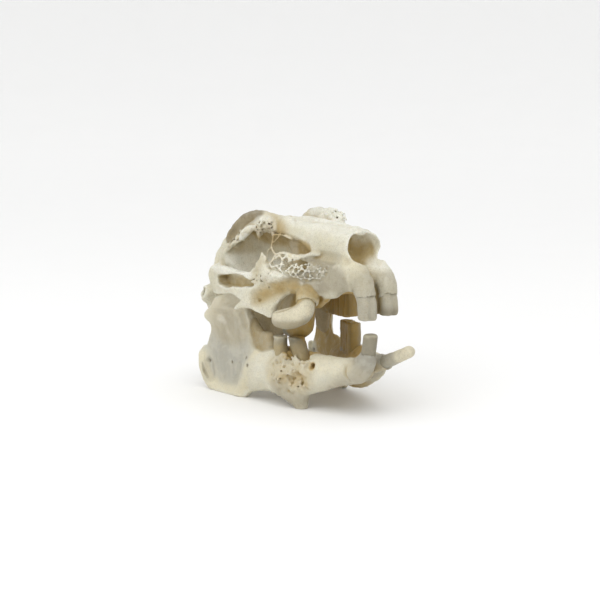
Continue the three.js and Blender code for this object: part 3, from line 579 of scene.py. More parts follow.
def buildCranium(cell):
    c, seeds = cranium, cranium["seeds"]
    f = BoneField(c["low"], c["high"], cell)
    f.add(1, c["braincase"], c["skullBase"], c["occiput"])
    for side in sides.values():
        f.add(side, c["neckRidge"], c["earBulb"], c["earTube"], c["condyle"])
    f.cut(1, c["spinalOpening"])
    for side in sides.values():
        f.add(side, c["snoutRoof"], c["maxilla"], c["incisorBone"], c["cheekMargin"])
    for name, side in sides.items():
        f.cut(side, c["orbit"], c["browRecess"], c["earOpening"])
        f.add(side, c["browEdge"], {**c["browWing"], "path": c["browWing"][name]}, c["browWeb"])
        f.cut(side, c["wingHollow"])
        f.add(side, {**c["orbitRim"], "path": c["orbitRim"][name]})
        f.cut(side, c["bladeGroove"])
        f.add(side, c["browSpike"], c["browLeaf"])
    report("braincase, snout and brow")
    for side in sides.values():
        f.fuse(sheet(c["archSheet"], archMiddle(side)))
        f.add(side, c["archRootBack"], c["archRootFront"], c["archHook"], c["archSpike"])
        f.add(side, c["cheekBack"], c["slitBack"])
        f.carve(sheet(c["archSlit"], archMiddle(side)))
        f.dent(side, c["cheekDent"]).grain(side, c["cheekDent"])
        f.dent(side, c["snoutValley"], c["archDent"], c["laceDent"])
    f.add(1, c["palate"])
    for name, side in sides.items():
        f.fuse(sheet({**c["palateWing"], "outline": c["palateWing"][name]}, wingMiddle(side)))
    f.fuse(sheet(c["socketWall"], lambda x, z: sides["right"] * c["socketWall"]["offset"] + 0 * x))
    f.add(sides["left"], c["upperRidge"]).add(sides["right"], c["socketCollar"])
    f.cut(1, c["noseOpening"], c["noseNotch"]).add(1, c["noseRoof"])
    report("cheek arches, palate and nose")
    for grain in c["grains"]:
        f.roughen(*grain)
    for side in sides.values():
        for line in c["seams"]:
            f.press(seam(line, side), *c["seamPress"])
    patches = (c["laceRear"], c["laceFront"])
    for k, side in enumerate(sides.values()):
        f.grain(side, c["cheekRough"]).foam(c["cheekRough"], side, seeds["cheekFoam"] + k)
        nets = [f.netPoints(patch, side, seeds["laceNet"] + k) for patch in patches]
        f.cut(side, c["lacePocket"], *c["laceHoles"], *c["cheekPits"])
        for patch, kept in zip(patches, nets):
            f.foam(patch, side, seeds["laceFoam"] + k)
            f.press(egg(patch, side), patch["sunk"], patch["spacing"])
            f.net(kept, patch, seeds["laceThread"] + k)
        f.add(side, c["laceRidge"])
        f.crumbs(c["browCrumbs"], side, seeds["browCrumbs"] + k)
        f.foam(c["browCrumbs"], side, seeds["browFoam"] + k)
        f.crumbs(c["rimCrumbs"], side, seeds["rimCrumbs"] + k)
        f.foam(c["rimCrumbs"], side, seeds["rimFoam"] + k)
        f.add(side, *c["laceStruts"])
    f.crumbs(c["farLump"], 1, seeds["lumpCrumbs"]).foam(c["farLump"], 1, seeds["lumpFoam"])
    f.add(1, *c["farThreads"])
    report("lace and ragged brow")
    return f


# lower jaw, one bone for each side

mandible = {
    "low": (-25, 0, -1), "high": (38, 20, 27), "margin": (0, 0.6, 0),
    "ramusPlane": (13.2, 0.16),  # y at x = 0, and growth of y to the rear
    "ramusLean": (14, 0.02, 1.6),  # height where the upper part starts to lean in, amount, power
    "ramus": {
        "right": [
            (-18, 21.2), (-19.6, 18.6), (-17, 16), (-18.2, 12), (-20.9, 10), (-21.5, 4.8), (-17.5, 0.2),
            (-13.5, -0.8), (-5, -0.7), (-1, 1.8), (3, 3.2), (6, 6), (4.6, 11), (1.8, 13), (-1, 17.5),
            (-2.8, 22), (-5.6, 25.2), (-10.5, 25.9), (-13.8, 24.4)],
        "left": [
            (-18, 21.6), (-18.3, 18.4), (-16.2, 16), (-16.6, 12.2), (-18.6, 9.4), (-19.4, 4.7),
            (-15.5, 0.2), (-12.5, -0.8), (-3, -0.8), (1, 0.2), (4, 3.2), (6, 6), (4, 11), (0.6, 12),
            (-4, 12.8), (-6.6, 14.6), (-7, 18), (-6.8, 22), (-8, 24.8), (-10.5, 25.9), (-13.8, 24.4)],
        "thickness": 1.6, "edge": 0.5, "blend": 1},
    "condyle": rod((-11.5, 13.6, 22.9, 1.4), (-16, 14, 22.9, 1.4), blend=1.5),
    "body": rod(
        (0, 12.8, 7.5, 4), (8, 10.5, 7.6, 5.2), (15, 8.5, 8.4, 5.2), (21, 6.6, 9.4, 4.2),
        (28, 4.4, 10.6, 3.1), (32, 3, 11.6, 2.3), weights=(1, 1.3, 1), blend=2),
    "chin": rod((20, 4.8, 9, 2.6), (27, 2.4, 10.2, 2.4), (31.4, 1.9, 11.6, 2), blend=2),
    "sheath": {
        "right": rod(
            (26, 4.4, 10.2, 2.8), (31, 3.3, 11.2, 2.7), (33.4, 3, 13.4, 2.4), (34.3, 2.9, 15, 1.98),
            blend=1),
        "left": rod((24, 3.6, 9.8, 2.8), (29, 2.9, 11.5, 2.3), (33, 2.55, 12.9, 1.85), blend=1)},
    "leftChinCut": rod(
        (19, 5, 0.8, 4.6), (24.5, 4.4, 3.7, 4.6), (29, 3.8, 5.6, 4.5), (33, 3, 6.7, 4.3), blend=1.6),
    "angleRim": rod(
        (-5, 14, 0.6, 1), (-13, 15.2, 0.6, 1.1), (-18.2, 16, 3, 1.2), (-20.4, 16.4, 8.4, 0.9), blend=1.2),
    "spur": rod((11, 9.6, 6, 4), (13.4, 9.3, 3.2, 2.8), (15.4, 9, 0.4, 1.5), blend=2),
    "lobe": {
        "outline": [
            (-3.7, 21.2), (-1.3, 19.3), (1.6, 17.6), (5.4, 17.5), (6.6, 16.6), (6.6, 14), (5, 11.6),
            (1.6, 11.6), (-0.8, 14), (-3.6, 18)],
        "offset": 12, "thickness": 2.4, "edge": 1.1, "blend": 0.7},
    "muscleLine": rod(
        (2.2, 13.5, 12, 0.5), (0.4, 13.9, 9.2, 0.8), (-0.6, 14.1, 7, 1.1), (-1.8, 14.3, 4.6, 0.9),
        (-5.6, 14.8, 1, 0.7), blend=1.2),
    "toothBed": rod((3, 12, 10.6, 2.3), (7.5, 10.8, 11, 2.5), (11, 9.6, 10.4, 2.2), blend=1),
    "toothWall": rod((4, 8.8, 12.4, 1.5), (10, 7.2, 12.6, 1.3), (17, 6, 12.4, 1.2), blend=1),
    "toothTrough": rod((13, 10, 13.4, 1.9), (16.4, 9, 13.4, 1.9), blend=0.6),
    "toothGap": rod((9.6, 11, 15.8, 0.6), (10.8, 10.8, 13.6, 0.9), (12.4, 10.6, 11, 0.8), blend=0.4),
    "ramusHollow": ball((-9, 17.5, 11), (6, 0.8, 7), depth=0.35, reach=3),
    "swelling": ball(
        (14.4, 11.6, 9), (6.4, 3.4, 4.6), yaw=-20, spacing=1.2, room=0.36, depth=0.5,
        grains=[(0.7, 1.9, 7), (0.36, 0.9, 10)], grainReach=1.6),
    "pits": [
        ball((18, 12, 8.2), (1.7, 1.3, 1.2), yaw=-20, blend=0.9),
        ball((16.4, 12.6, 7), (1.3, 1.2, 1), yaw=-20, blend=0.9),
        ball((19.2, 11.4, 6.6), (0.9, 1, 0.8), yaw=-20, blend=0.7),
        ball((13.6, 13.6, 7.4), (0.8, 1, 0.6), yaw=-20, blend=0.7)],
    "foramen": rod((21.2, 10.6, 11.3, 0.75), (20, 7.6, 11, 0.6), blend=0.4),
    "foramenSlot": rod((20.8, 9.8, 11.6, 0.5), (21.6, 9.7, 12.6, 0.4), (23, 9.2, 12.9, 0.2), blend=0.3),
    "ramusFolds": [  # depth below zero is raised
        rod((-11, 15, 23.4, 0.3), (-8.3, 14.5, 23.9, 0.5), (-5.3, 14, 24.2, 0.3), depth=0.55, reach=1.7),
        rod((-15, 16, 20.8, 0.2), (-11, 15.4, 21.4, 0.3), (-7, 14.7, 21.4, 0.2), depth=-0.4, reach=1.1),
        rod(
            (-13.6, 15.9, 19, 0.6), (-11, 15.6, 17.3, 0.8), (-9.3, 15.5, 15.2, 0.8), (-7, 15.2, 13, 0.4),
            depth=0.5, reach=2.2),
        rod(
            (-6.7, 14.6, 21, 0.2), (-4.8, 14.4, 18.6, 0.3), (-3.2, 14.3, 15.4, 0.2), depth=-0.45,
            reach=1.1),
        rod((-4.4, 14.2, 21.4, 0.2), (-2.6, 14.2, 18.4, 0.3), depth=0.45, reach=1),
        rod((-8.6, 15.2, 20, 0.2), (-7, 15, 16.6, 0.3), (-5.4, 14.9, 12, 0.2), depth=0.3, reach=1.1),
        rod((-12, 15.8, 13, 0.3), (-13.4, 16.2, 9, 0.4), (-12, 16, 4.6, 0.3), depth=-0.35, reach=1.7),
        rod((-17, 16.8, 7, 0.4), (-16.6, 16.7, 4.4, 0.6), (-14.8, 16.4, 2.8, 0.3), depth=0.6, reach=1.6),
        rod((-1.8, 14.4, 7.2, 0.4), (-2.8, 14.6, 5.4, 0.7), (-4, 14.8, 3.8, 0.4), depth=-0.7, reach=1.5),
        rod((-4.2, 15, 8, 0.2), (-5, 15, 5.4, 0.3), (-6.6, 15.2, 3.4, 0.2), depth=0.4, reach=1.2)],
    "ramusMarks": [
        rod((-18.7, 18, 7.5, 0.36), (-17.4, 15.6, 7.3, 0.3), blend=0.15),
        rod((-19.3, 17.6, 6.4, 0.2), (-18.8, 17.3, 4.8, 0.32), (-17.4, 17, 3.2, 0.2), blend=0.25),
        rod((-7.9, 15.9, 8.3, 0.3), (-7.9, 14.6, 8.3, 0.25), blend=0.2),
        rod((0.4, 15.6, 8.8, 0.3), (0.2, 13.6, 8.6, 0.25), blend=0.2),
        rod((-1.2, 15.8, 10.4, 0.2), (-1.2, 13.8, 10.4, 0.15), blend=0.2)],
    "sheathGroove": rod(
        (31.4, 5.7, 15, 0.25), (30.2, 6.2, 12.8, 0.4), (29.8, 6.2, 10.4, 0.4), (30.8, 5.4, 8.6, 0.2)),
    "gap": 0.15,  # from the middle plane
    "grains": [(0.18, 3.2, 5), (0.1, 1.3, 6), (0.05, 0.7, 9)],  # height and size in mm, seed
    "foamSeed": 60,
}


def ramusMiddle(side):
    offset, flare = mandible["ramusPlane"]
    start, amount, power = mandible["ramusLean"]
    return lambda x, z: side * (offset - flare * x - amount * np.maximum(z - start, 0) ** power)


def buildMandible(name, cell):
    c, side = mandible, sides[name]
    corners = np.array(flip([c["low"], c["high"]], side))
    f = BoneField(corners.min(0) - c["margin"], corners.max(0) + c["margin"], cell)
    f.fuse(sheet({**c["ramus"], "outline": c["ramus"][name]}, ramusMiddle(side)))
    f.add(side, c["condyle"], c["body"], c["chin"], c["sheath"][name], c["angleRim"], c["muscleLine"])
    if name == "right":
        f.add(side, c["toothBed"], c["toothWall"]).cut(side, c["toothTrough"], c["toothGap"])
    else:
        f.cut(side, c["leftChinCut"])
    f.dent(side, c["ramusHollow"], *c["ramusFolds"])
    if name == "right":
        f.add(side, c["spur"]).fuse(sheet(c["lobe"], lambda x, z: side * c["lobe"]["offset"] + 0 * x))
    f.cut(side, *c["pits"])
    for grain in c["grains"]:
        f.roughen(*grain)
    f.grain(side, c["swelling"]).cut(side, c["sheathGroove"])
    f.foam(c["swelling"], side, c["foamSeed"] + side)
    f.cut(side, c["foramen"], c["foramenSlot"], *c["ramusMarks"])
    return f.keepAbove(0).keepSide(side, c["gap"])


# teeth

teeth = {
    "upperIncisor": rod(
        (30.6, 3, 31, 1.9), (33.2, 3.05, 28.6, 2.2), (34, 3, 26, 2.26), (33.7, 2.9, 22, 2.15), edge=0.7,
        tip={"right": 23.3, "left": 24.1},
        groove=rod(
            (35, 3.1, 31.5, 0.3), (36, 3.2, 28, 0.3), (36.2, 3.2, 25, 0.3), (35.9, 3.1, 21, 0.3),
            blend=1.2),
        ripple=0.06, seed=70),
    "lowerIncisor": {
        "right": rod(
            (31, 2.9, 10.8, 1.6), (33.9, 2.95, 14, 1.65), (34.8, 2.85, 17.4, 1.7), (34.9, 2.7, 19.6, 1.7),
            flat=20.3, edge=0.9, ripple=0.06, seed=74),
        "left": rod(
            (28, 2.6, 11.6, 1.2), (33, 2.5, 12.9, 1.55), (38, 2.7, 14.8, 1.5), (42, 3.1, 16.6, 1.4),
            ripple=0.06, seed=74)},
    "peg": rod((30.6, 1.6, 31, 1.3), (31.4, 1.7, 23.6, 1.25), flat=24.2, ripple=0.04, seed=78),
    "bowed": rod(
        (14.2, 7, 28, 1.6), (17, 8.6, 26.2, 2.1), (18.4, 10.4, 24.3, 2.45), (17.2, 11.6, 22.9, 2.6),
        (14.8, 12.6, 22, 2.5), (12.2, 13.2, 21.6, 2.1), ripple=0.1, seed=95),
    "bowedTip": rod((15.4, 12.6, 23, 1.3), (11.6, 13.8, 22.8, 0.6), (10.4, 14.1, 22.7, 0.2), blend=0.6),
    "bowedEnd": ball((9.2, 14.6, 20.6), (1.7, 1.9, 1.7), blend=0.4),
    "bowedFold": rod(
        (17.6, 10.2, 26.4, 0.2), (17.3, 12.2, 25, 0.35), (15.2, 13.6, 23.9, 0.35),
        (11.6, 14.2, 23.2, 0.25)),
    "inner": rod(
        (11, 5.2, 28, 1.9), (11.9, 5.4, 24.5, 1.9), (12.2, 5.6, 20.9, 1.9), (11.6, 5.8, 18.8, 1.9),
        (8.8, 6, 17.5, 1.7), (4.6, 6.2, 17.4, 1.5), ripple=0.08, seed=98),
    "upperRow": {
        "count": 5, "front": 14.6, "pitch": 2.9, "offset": 6, "splay": 0.35, "root": 29, "tip": 20.6,
        "step": (0.6, 0.1, 0, 0, 0.2), "radius": 1.68, "seed": 90},
    "lowerRow": {
        "right": [
            rod(
                (9.8, 10.4, 9, 2), (9.2, 10.8, 11.5, 1.85), (8.2, 10.8, 14.5, 1.65),
                (8.5, 10.8, 17.4, 1.75), flat=16.9, blend=0.1, ripple=0.2, seed=85),
            rod(
                (15.4, 8.4, 9, 2.1), (14.5, 8.6, 12.5, 2), (12.8, 8.7, 15.5, 1.95), (11.8, 8.7, 17.6, 1.9),
                flat=17, blend=0.1, ripple=0.2, seed=88)],
        "left": {
            "count": 4, "front": 14, "pitch": 2.3, "offset": 7, "splay": 0.8, "root": 9, "tip": 19.5,
            "step": (0, -0.3, -0.2, -0.4), "radius": 1.5, "seed": 82}},
    "socketEdge": 0.2,
    "rippleSizes": (1.6, 0.7),  # mm, the finer one is half as high
    "rowLean": 0.3, "rowWeights": (1, 0.85, 1), "rowBlend": 0.15,
    "rowGrains": [(0.07, 1.4), (0.04, 0.6)],  # height and size in mm
    "rowFold": {"root": 1.62, "tip": 1.6, "radius": 0.5, "blend": 0.8},  # in tooth radii
    "rowWear": {"lift": 0.35, "half": (0.62, 0.78, 0.62), "blend": 0.4},
}


def toothField(spec, side, cell):
    shape = tube(spec, side)
    coarse, fine = teeth["rippleSizes"]
    seed = spec["seed"] + side
    f = BoneField(shape[1] - 1, shape[2] + 1, cell).fuse(shape)
    return f.roughen(spec["ripple"], coarse, seed).roughen(0.5 * spec["ripple"], fine, seed + 1)


def buildRow(row, side, cell):
    r, root, lean = row["radius"], row["root"], teeth["rowLean"]
    fold, wearAndShade = teeth["rowFold"], teeth["rowWear"]
    places, shapes = [], []
    for i in range(row["count"]):
        x, y = row["front"] - i * row["pitch"], row["offset"] + i * row["splay"]
        tip = row["tip"] + row["step"][i]
        bar = rod((x, y, root, r), (x + lean, y - lean, tip, r), blend=teeth["rowBlend"])
        shapes.append(tube({**bar, "weights": teeth["rowWeights"], "flat": tip}, side))
        places.append((x, y, tip))
    low = np.min([shape[1] for shape in shapes], axis=0)
    high = np.max([shape[2] for shape in shapes], axis=0)
    f = BoneField(low - 1, high + 1, cell)
    for shape in shapes:
        f.fuse(shape)
    for x, y, tip in places:  # a fold down each face, and a dished worn end
        for face in (-1, 1):
            top = (x, y + face * fold["root"] * r, root, fold["radius"] * r)
            end = (x + lean, y + face * fold["tip"] * r - lean, tip, fold["radius"] * r)
            f.cut(side, rod(top, end, blend=fold["blend"]))
        away = 1 if tip > root else -1
        middle = (x + lean, y - lean, tip + wearAndShade["lift"] * r * away)
        f.cut(side, ball(middle, [half * r for half in wearAndShade["half"]], blend=wearAndShade["blend"]))
    for k, (height, size) in enumerate(teeth["rowGrains"]):
        f.roughen(height, size, row["seed"] + k)
    return f


def buildTeeth(cell):
    t, fields = teeth, {}
    right, left = sides["right"], sides["left"]
    for name, side in sides.items():
        upper = {**t["upperIncisor"], "flat": t["upperIncisor"]["tip"][name]}
        fields["upper_incisor_" + name] = toothField(upper, side, cell).cut(side, upper["groove"])
        fields["lower_incisor_" + name] = toothField(t["lowerIncisor"][name], side, cell)
        fields["peg_tooth_" + name] = toothField(t["peg"], side, cell)
    fields["lower_teeth_left"] = buildRow(t["lowerRow"]["left"], left, cell)
    for i, loose in enumerate(t["lowerRow"]["right"]):
        fields["lower_tooth_right_%d" % (i + 1)] = toothField(loose, right, cell)
    fields["upper_teeth_left"] = buildRow(t["upperRow"], left, cell)
    bowed = toothField(t["bowed"], right, cell).add(right, t["bowedTip"])
    fields["cheek_tooth_upper_right"] = bowed.cut(right, t["bowedEnd"], t["bowedFold"])
    fields["inner_tooth_right"] = toothField(t["inner"], right, cell)
    return fields


# stains and painted light: a form, how far past it the colour fades in mm, its side, the way a face must
# look, and layers; many entries paint shade or highlight, not the bone's own colour

def stainOrPaintedLight(spec, reach, only=None, facing=None, **amounts):
    return spec, reach, only, facing, amounts


inward, outward, facingReach = (0, -1, 0), (0, 1, 0), 0.8
stainsAndPaintedLight = {
    "cranium": [
        *[stainOrPaintedLight(line, 0.4, ochre=0.4) for line in cranium["seams"]],
        # painted shade in the recess under the brow and in the upper orbit beneath it
        stainOrPaintedLight(cranium["browRecess"], 0.8, grey=0.5, brown=0.25),
        stainOrPaintedLight(ball((-2, 7.6, 40.4), (7, 3.2, 2.8)), 2.6, brown=0.6, umber=0.3),
        # painted shade along the snout valley
        stainOrPaintedLight(cranium["snoutValley"], 2, grey=0.35),
        # painted shade on the brow wing, which faces away from the light: grey and umber, with some ochre
        stainOrPaintedLight(
            rod((-5, 10.2, 45, 1.8), (-9, 10.8, 43.2, 2.4), (-14, 11.4, 39.6, 2)), 1.6, grey=1, umber=0.4),
        stainOrPaintedLight(rod((-6, 11, 44.4, 1), (-10, 11.6, 42.2, 1.5), (-14, 12, 39.4, 1.3)), 1.6, ochre=0.4),
        # painted shade in the cheek dent
        stainOrPaintedLight(cranium["cheekDent"], 1.6, umber=0.25, brown=0.5),
        # painted shade at the front end of the brow recess
        stainOrPaintedLight(ball((12.4, 6.4, 38), (3.4, 2.2, 1.6)), 1.2, umber=0.25, ochre=1),
        stainOrPaintedLight(cranium["laceRear"], 0.6, cream=0.9),
        stainOrPaintedLight(cranium["laceFront"], 0.8, grey=0.6),
        stainOrPaintedLight(ball((-30, 0, 27), (5, 3, 2.6)), 0.6, only="left", brown=0.7),
        stainOrPaintedLight(cranium["lacePocket"], 1.4, ochre=0.5, cream=0.8),
        *[stainOrPaintedLight(strut, 0.2, cream=1) for strut in cranium["laceStruts"]],
        # painted highlight on the lit top of the cheek arch
        stainOrPaintedLight(ball((-7, 10, 32.6), (10, 6, 1.8)), 2, white=0.75),
        # painted shade: a grey band under the end of the lace ridge
        stainOrPaintedLight(rod((15.6, 9, 35.4, 0.6), (19, 7.4, 35.6, 0.8), (24, 6.4, 35, 0.6)), 1.6, grey=0.9),
        stainOrPaintedLight(rod((32, 3.1, 32.4, 2.6), (33.4, 3.1, 28, 2.6)), 1.8, grey=0.55),
        # painted highlight on the far premaxilla's top
        stainOrPaintedLight(ball((29.6, 3.4, 35.6), (3, 2.4, 1.4)), 2, only="left", white=0.7),
        stainOrPaintedLight(cranium["orbit"], 0.5, ochre=0.25),
        # painted shade: ochre in the upper orbit, under the brow
        stainOrPaintedLight(ball((-3, 7, 41), (7, 3.5, 4)), 2, ochre=0.5),
        # painted shade inside the nose opening
        stainOrPaintedLight(ball((24, 0, 38.6), (6, 4.2, 4)), 0.8, ochre=0.95),
        # painted shade on the wall seen through the arch slit: ochre on its outer face over a cream tint
        stainOrPaintedLight(cranium["slitBack"], 0.7, facing=outward, ochre=0.75),
        stainOrPaintedLight(cranium["slitBack"], 0.7, cream=0.9),
        # painted shade: ochre in and round the cheek dent
        stainOrPaintedLight(cranium["cheekDent"], 2.6, ochre=0.95),
        # ochre round the bowed tooth's socket: partly the socket bone's own colour, partly painted shade
        stainOrPaintedLight(ball((15.5, 7.8, 27.4), (4, 3.6, 2.8)), 1, only="right", ochre=1),
        # painted shade under the near upper teeth, under the skull base and on the far side's inner faces and
        # palate
        stainOrPaintedLight(ball((6, 6.5, 24.5), (9, 5.4, 5)), 1, only="right", brown=0.35),
        stainOrPaintedLight(ball((13, 0, 23.5), (22, 6, 6.4)), 1.2, only="left", facing=inward, brown=0.9),
        stainOrPaintedLight(ball((10, 0, 28), (20, 5, 3)), 1, only="left", brown=0.9),
        stainOrPaintedLight(ball((-3, 4.5, 21), (13, 4, 8)), 1.5, brown=0.5),
        stainOrPaintedLight(ball((7, 9, 20), (8, 3, 4)), 1, only="left", brown=0.5),
        stainOrPaintedLight(rod((13, 9, 32, 2), (20, 7, 31.6, 2.6), (27, 5.4, 32, 2)), 2.4, grey=0.85),
        stainOrPaintedLight(rod((27, 3, 36, 1.6), (29, 3.2, 35, 1.8), (30.6, 3.3, 34, 1.6)), 2, cream=0.7),
        stainOrPaintedLight(ball((9.5, 13.5, 32.6), (3.4, 2, 1.6)), 1.5, white=0.6, cream=0.4),
        # painted highlight on top surfaces: the skull's top, the far side's top and brow wing, the arch's top
        # edge and the brow leaf's lit edge
        stainOrPaintedLight(rod((-6, 3, 44.5, 2), (10, 3, 44, 2), (26, 2, 43, 2)), 2.5, white=0.65),
        stainOrPaintedLight(rod((4, 4, 44.5, 1.6), (14, 4, 44, 1.6), (22, 3, 43.4, 1.4)), 2, only="left", white=1),
        stainOrPaintedLight(ball((0, 9, 45), (7, 3, 2)), 2, only="left", white=0.9),
        stainOrPaintedLight(rod((-20, 13, 31.5, 0.8), (-8, 17, 32, 0.8), (2, 16, 32, 0.8)), 1.4, white=0.9),
        stainOrPaintedLight(cranium["browLeaf"], 0.35, white=1),
        stainOrPaintedLight(cranium["farLump"], 2, only="left", white=0.7),
        stainOrPaintedLight(cranium["browCrumbs"], 1, white=0.6)],
    "mandible": [
        stainOrPaintedLight(ball((-9, 15, 12.5), (6, 3, 7)), 6.5, facing=outward, grey=0.95),
        stainOrPaintedLight(
            rod((24, 4, 8, 2), (29, 3.2, 9.6, 2.6), (33, 3, 13, 2.8), (34.6, 2.8, 17, 2.8)), 2.4, grey=1),
        stainOrPaintedLight(rod((33.4, 3, 14, 2.4), (34.6, 2.8, 17, 2.4)), 1.4, only="right", umber=0.25),
        stainOrPaintedLight(rod((22, 5, 7, 2.4), (28, 3.4, 9, 2.6), (32, 3, 11, 2.6)), 2, ochre=0.25),
        stainOrPaintedLight(mandible["spur"], 1.5, only="right", ochre=0.3, grey=0.75, umber=0.15),
        stainOrPaintedLight(ball((32.4, 0.8, 10.4), (2.4, 1.8, 1.8)), 1.6, ochre=0.6),
        stainOrPaintedLight(ball((32.4, 0.8, 10.4), (2.4, 1.8, 1.8)), 1.6, only="right", umber=0.3),
        stainOrPaintedLight(mandible["angleRim"], 1.6, cream=0.8),
        stainOrPaintedLight(mandible["muscleLine"], 1.2, cream=0.9),
        # painted shade in the crescent fold at the back of the ramus
        stainOrPaintedLight(ball((-17.2, 16.6, 5.2), (1.8, 1.4, 2.8)), 1.2, grey=1, umber=0.15),
        # painted shade inside the small slits and holes of the ramus
        *[stainOrPaintedLight(mark, 0.5, umber=0.6) for mark in mandible["ramusMarks"]],
        stainOrPaintedLight(rod((18, 9, 12, 2), (24, 7, 12.5, 2), (29, 5.4, 12.5, 2)), 2, cream=0.45),
        stainOrPaintedLight(mandible["swelling"], 2.4, ochre=0.4),
        # painted shade over the lobe and the cavity above it
        stainOrPaintedLight(ball((2, 12, 16.4), (5.4, 1.8, 4.6)), 1, only="right", ochre=0.8, grey=1, umber=0.3),
        # painted shade on the upper ramus below the cheek arch
        stainOrPaintedLight(ball((-9, 14.5, 19), (8, 3, 5)), 3, only="right", ochre=0.3),
        stainOrPaintedLight(ball((-8.5, 15, 16.6), (3.6, 1.6, 3)), 2.6, umber=0.12),
        # painted shade inside the pits and the foramen
        *[stainOrPaintedLight(hollow, 1.2, brown=0.35) for hollow in mandible["pits"]],
        stainOrPaintedLight(mandible["foramen"], 0.6, brown=0.8),
        # painted shade on the far jaw's inner face, on the near jaw behind its teeth and in the gap between
        # teeth
        stainOrPaintedLight(ball((1, 9, 14), (22, 10, 13)), 2, only="left", facing=inward, brown=0.9),
        stainOrPaintedLight(ball((9, 7, 13), (9, 3.4, 3)), 1.4, only="right", brown=0.8),
        stainOrPaintedLight(mandible["toothGap"], 0.8, only="right", brown=0.9),
        stainOrPaintedLight(mandible["toothTrough"], 0.8, only="right", ochre=0.6)],
    "tooth": [
        # painted shade on the far tooth rows: darker front faces, brown inner faces
        stainOrPaintedLight(ball((16.2, 6.6, 14), (1.4, 3.4, 7)), 1.2, only="left", umber=0.4),
        stainOrPaintedLight(ball((16.8, 6, 25), (1.4, 3.4, 6)), 1.2, only="left", umber=0.4),
        stainOrPaintedLight(ball((10, 3, 20), (18, 8, 9)), 1.5, only="left", facing=inward, brown=0.95),
        stainOrPaintedLight(ball((10, 3, 20), (18, 8, 9)), 1.5, only="left", brown=0.35),
        # painted shade on the inner tooth behind the bowed tooth and on the second loose lower tooth
        stainOrPaintedLight(ball((11.5, 6, 21), (6.5, 3.2, 6)), 1.2, only="right", brown=1, umber=0.3),
        stainOrPaintedLight(ball((13, 8.6, 14), (3.4, 2.6, 4)), 1, only="right", umber=0.3, grey=1),
        # painted shade: the far upper incisor darker at its tip
        stainOrPaintedLight(ball((34, 3, 23.6), (3, 3, 1)), 2.4, only="left", umber=0.6, grey=0.7),
        # ochre on the bowed tooth's root: partly its own colour, partly painted shade from the socket
        stainOrPaintedLight(ball((16.6, 8.6, 27), (3.8, 3.8, 2.2)), 2.4, only="right", ochre=1),
        stainOrPaintedLight(ball((10, 10, 11), (8, 4, 3)), 3, only="right", ochre=0.7),
        # painted shade on the peg teeth, in the dark gap between the upper incisors
        stainOrPaintedLight(ball((31.5, 0, 27), (2.2, 2.6, 6)), 1.2, only="left", ochre=0.8),
        # painted highlight: a white crescent along the bowed tooth's top
        stainOrPaintedLight(
            rod((19.8, 10.4, 25, 1.6), (18.6, 12.4, 23.6, 1.3), (15.4, 14, 22.9, 1), (12.4, 14.4, 22.6, 0.7)),
            1, only="right", white=1),
        stainOrPaintedLight(
            rod((17.2, 11.6, 22.9, 2.6), (14.8, 12.6, 22, 2.5), (12.2, 13.2, 21.6, 2.1)), 1, only="right",
            cream=1),
        # painted shade on the bowed tooth's underside
        stainOrPaintedLight(
            rod((19.4, 12.2, 21.2, 0.8), (16, 14.4, 19.8, 1), (11.6, 15.4, 19.4, 1)), 1.8, only="right",
            umber=0.32, ochre=0.2),
        stainOrPaintedLight(ball((41.4, 3, 16.3), (2.6, 2, 2)), 2.4, only="left", white=1),
        stainOrPaintedLight(rod((30.6, 3, 31, 2), (33.2, 3.05, 28.6, 2.3), (34, 3, 26.4, 1.6)), 2, cream=0.35),
        stainOrPaintedLight(ball((34.4, 2.8, 16.5), (3, 3, 5)), 1, only="right", grey=0.8),
        stainOrPaintedLight(ball((14, 8.6, 12.6), (3.4, 2.6, 3)), 1.4, only="right", ochre=0.6),
        stainOrPaintedLight(ball((10, 13.4, 20.8), (1.6, 1.8, 1.8)), 1, only="right", ochre=0.6, umber=0.15)],
}


def tintAt(points, normals, entries, own):
    layers = {name: np.zeros(len(points)) for name in ("white", "cream", "grey", "ochre", "brown", "umber")}
    for spec, reach, only, facing, amounts in entries:
        for name, side in sides.items():
            if only not in (None, name) or own not in (0, side):
                continue
            away = np.maximum(shapeOf(spec, side)[0](*points.T), 0)
            share = eased(1 - away / reach)
            if facing is not None:
                share = share * eased(facingReach + normals @ np.array(flip([facing], side)[0]))
            for layer, amount in amounts.items():
                layers[layer] = np.maximum(layers[layer], amount * share)
    for layer in ("ochre", "brown", "umber"):  # where white is painted, on bare white bone or as painted highlight, the ochre, brown and umber of stains and painted shade are held back
        layers[layer] *= 1 - layers["white"]
    return layers


wearAndShade = {  # painted shade and painted highlight from the shape: ochre in hollows, brown deep in, white on ridges. mm looked at round a point, share of bone where the layer starts, and how fast it grows
    "hollow": (0.7, 0.5, 0.3),
    "ridge": (0.7, 0.46, -0.24),
    "deep": (3.2, 0.42, 0.42),
}


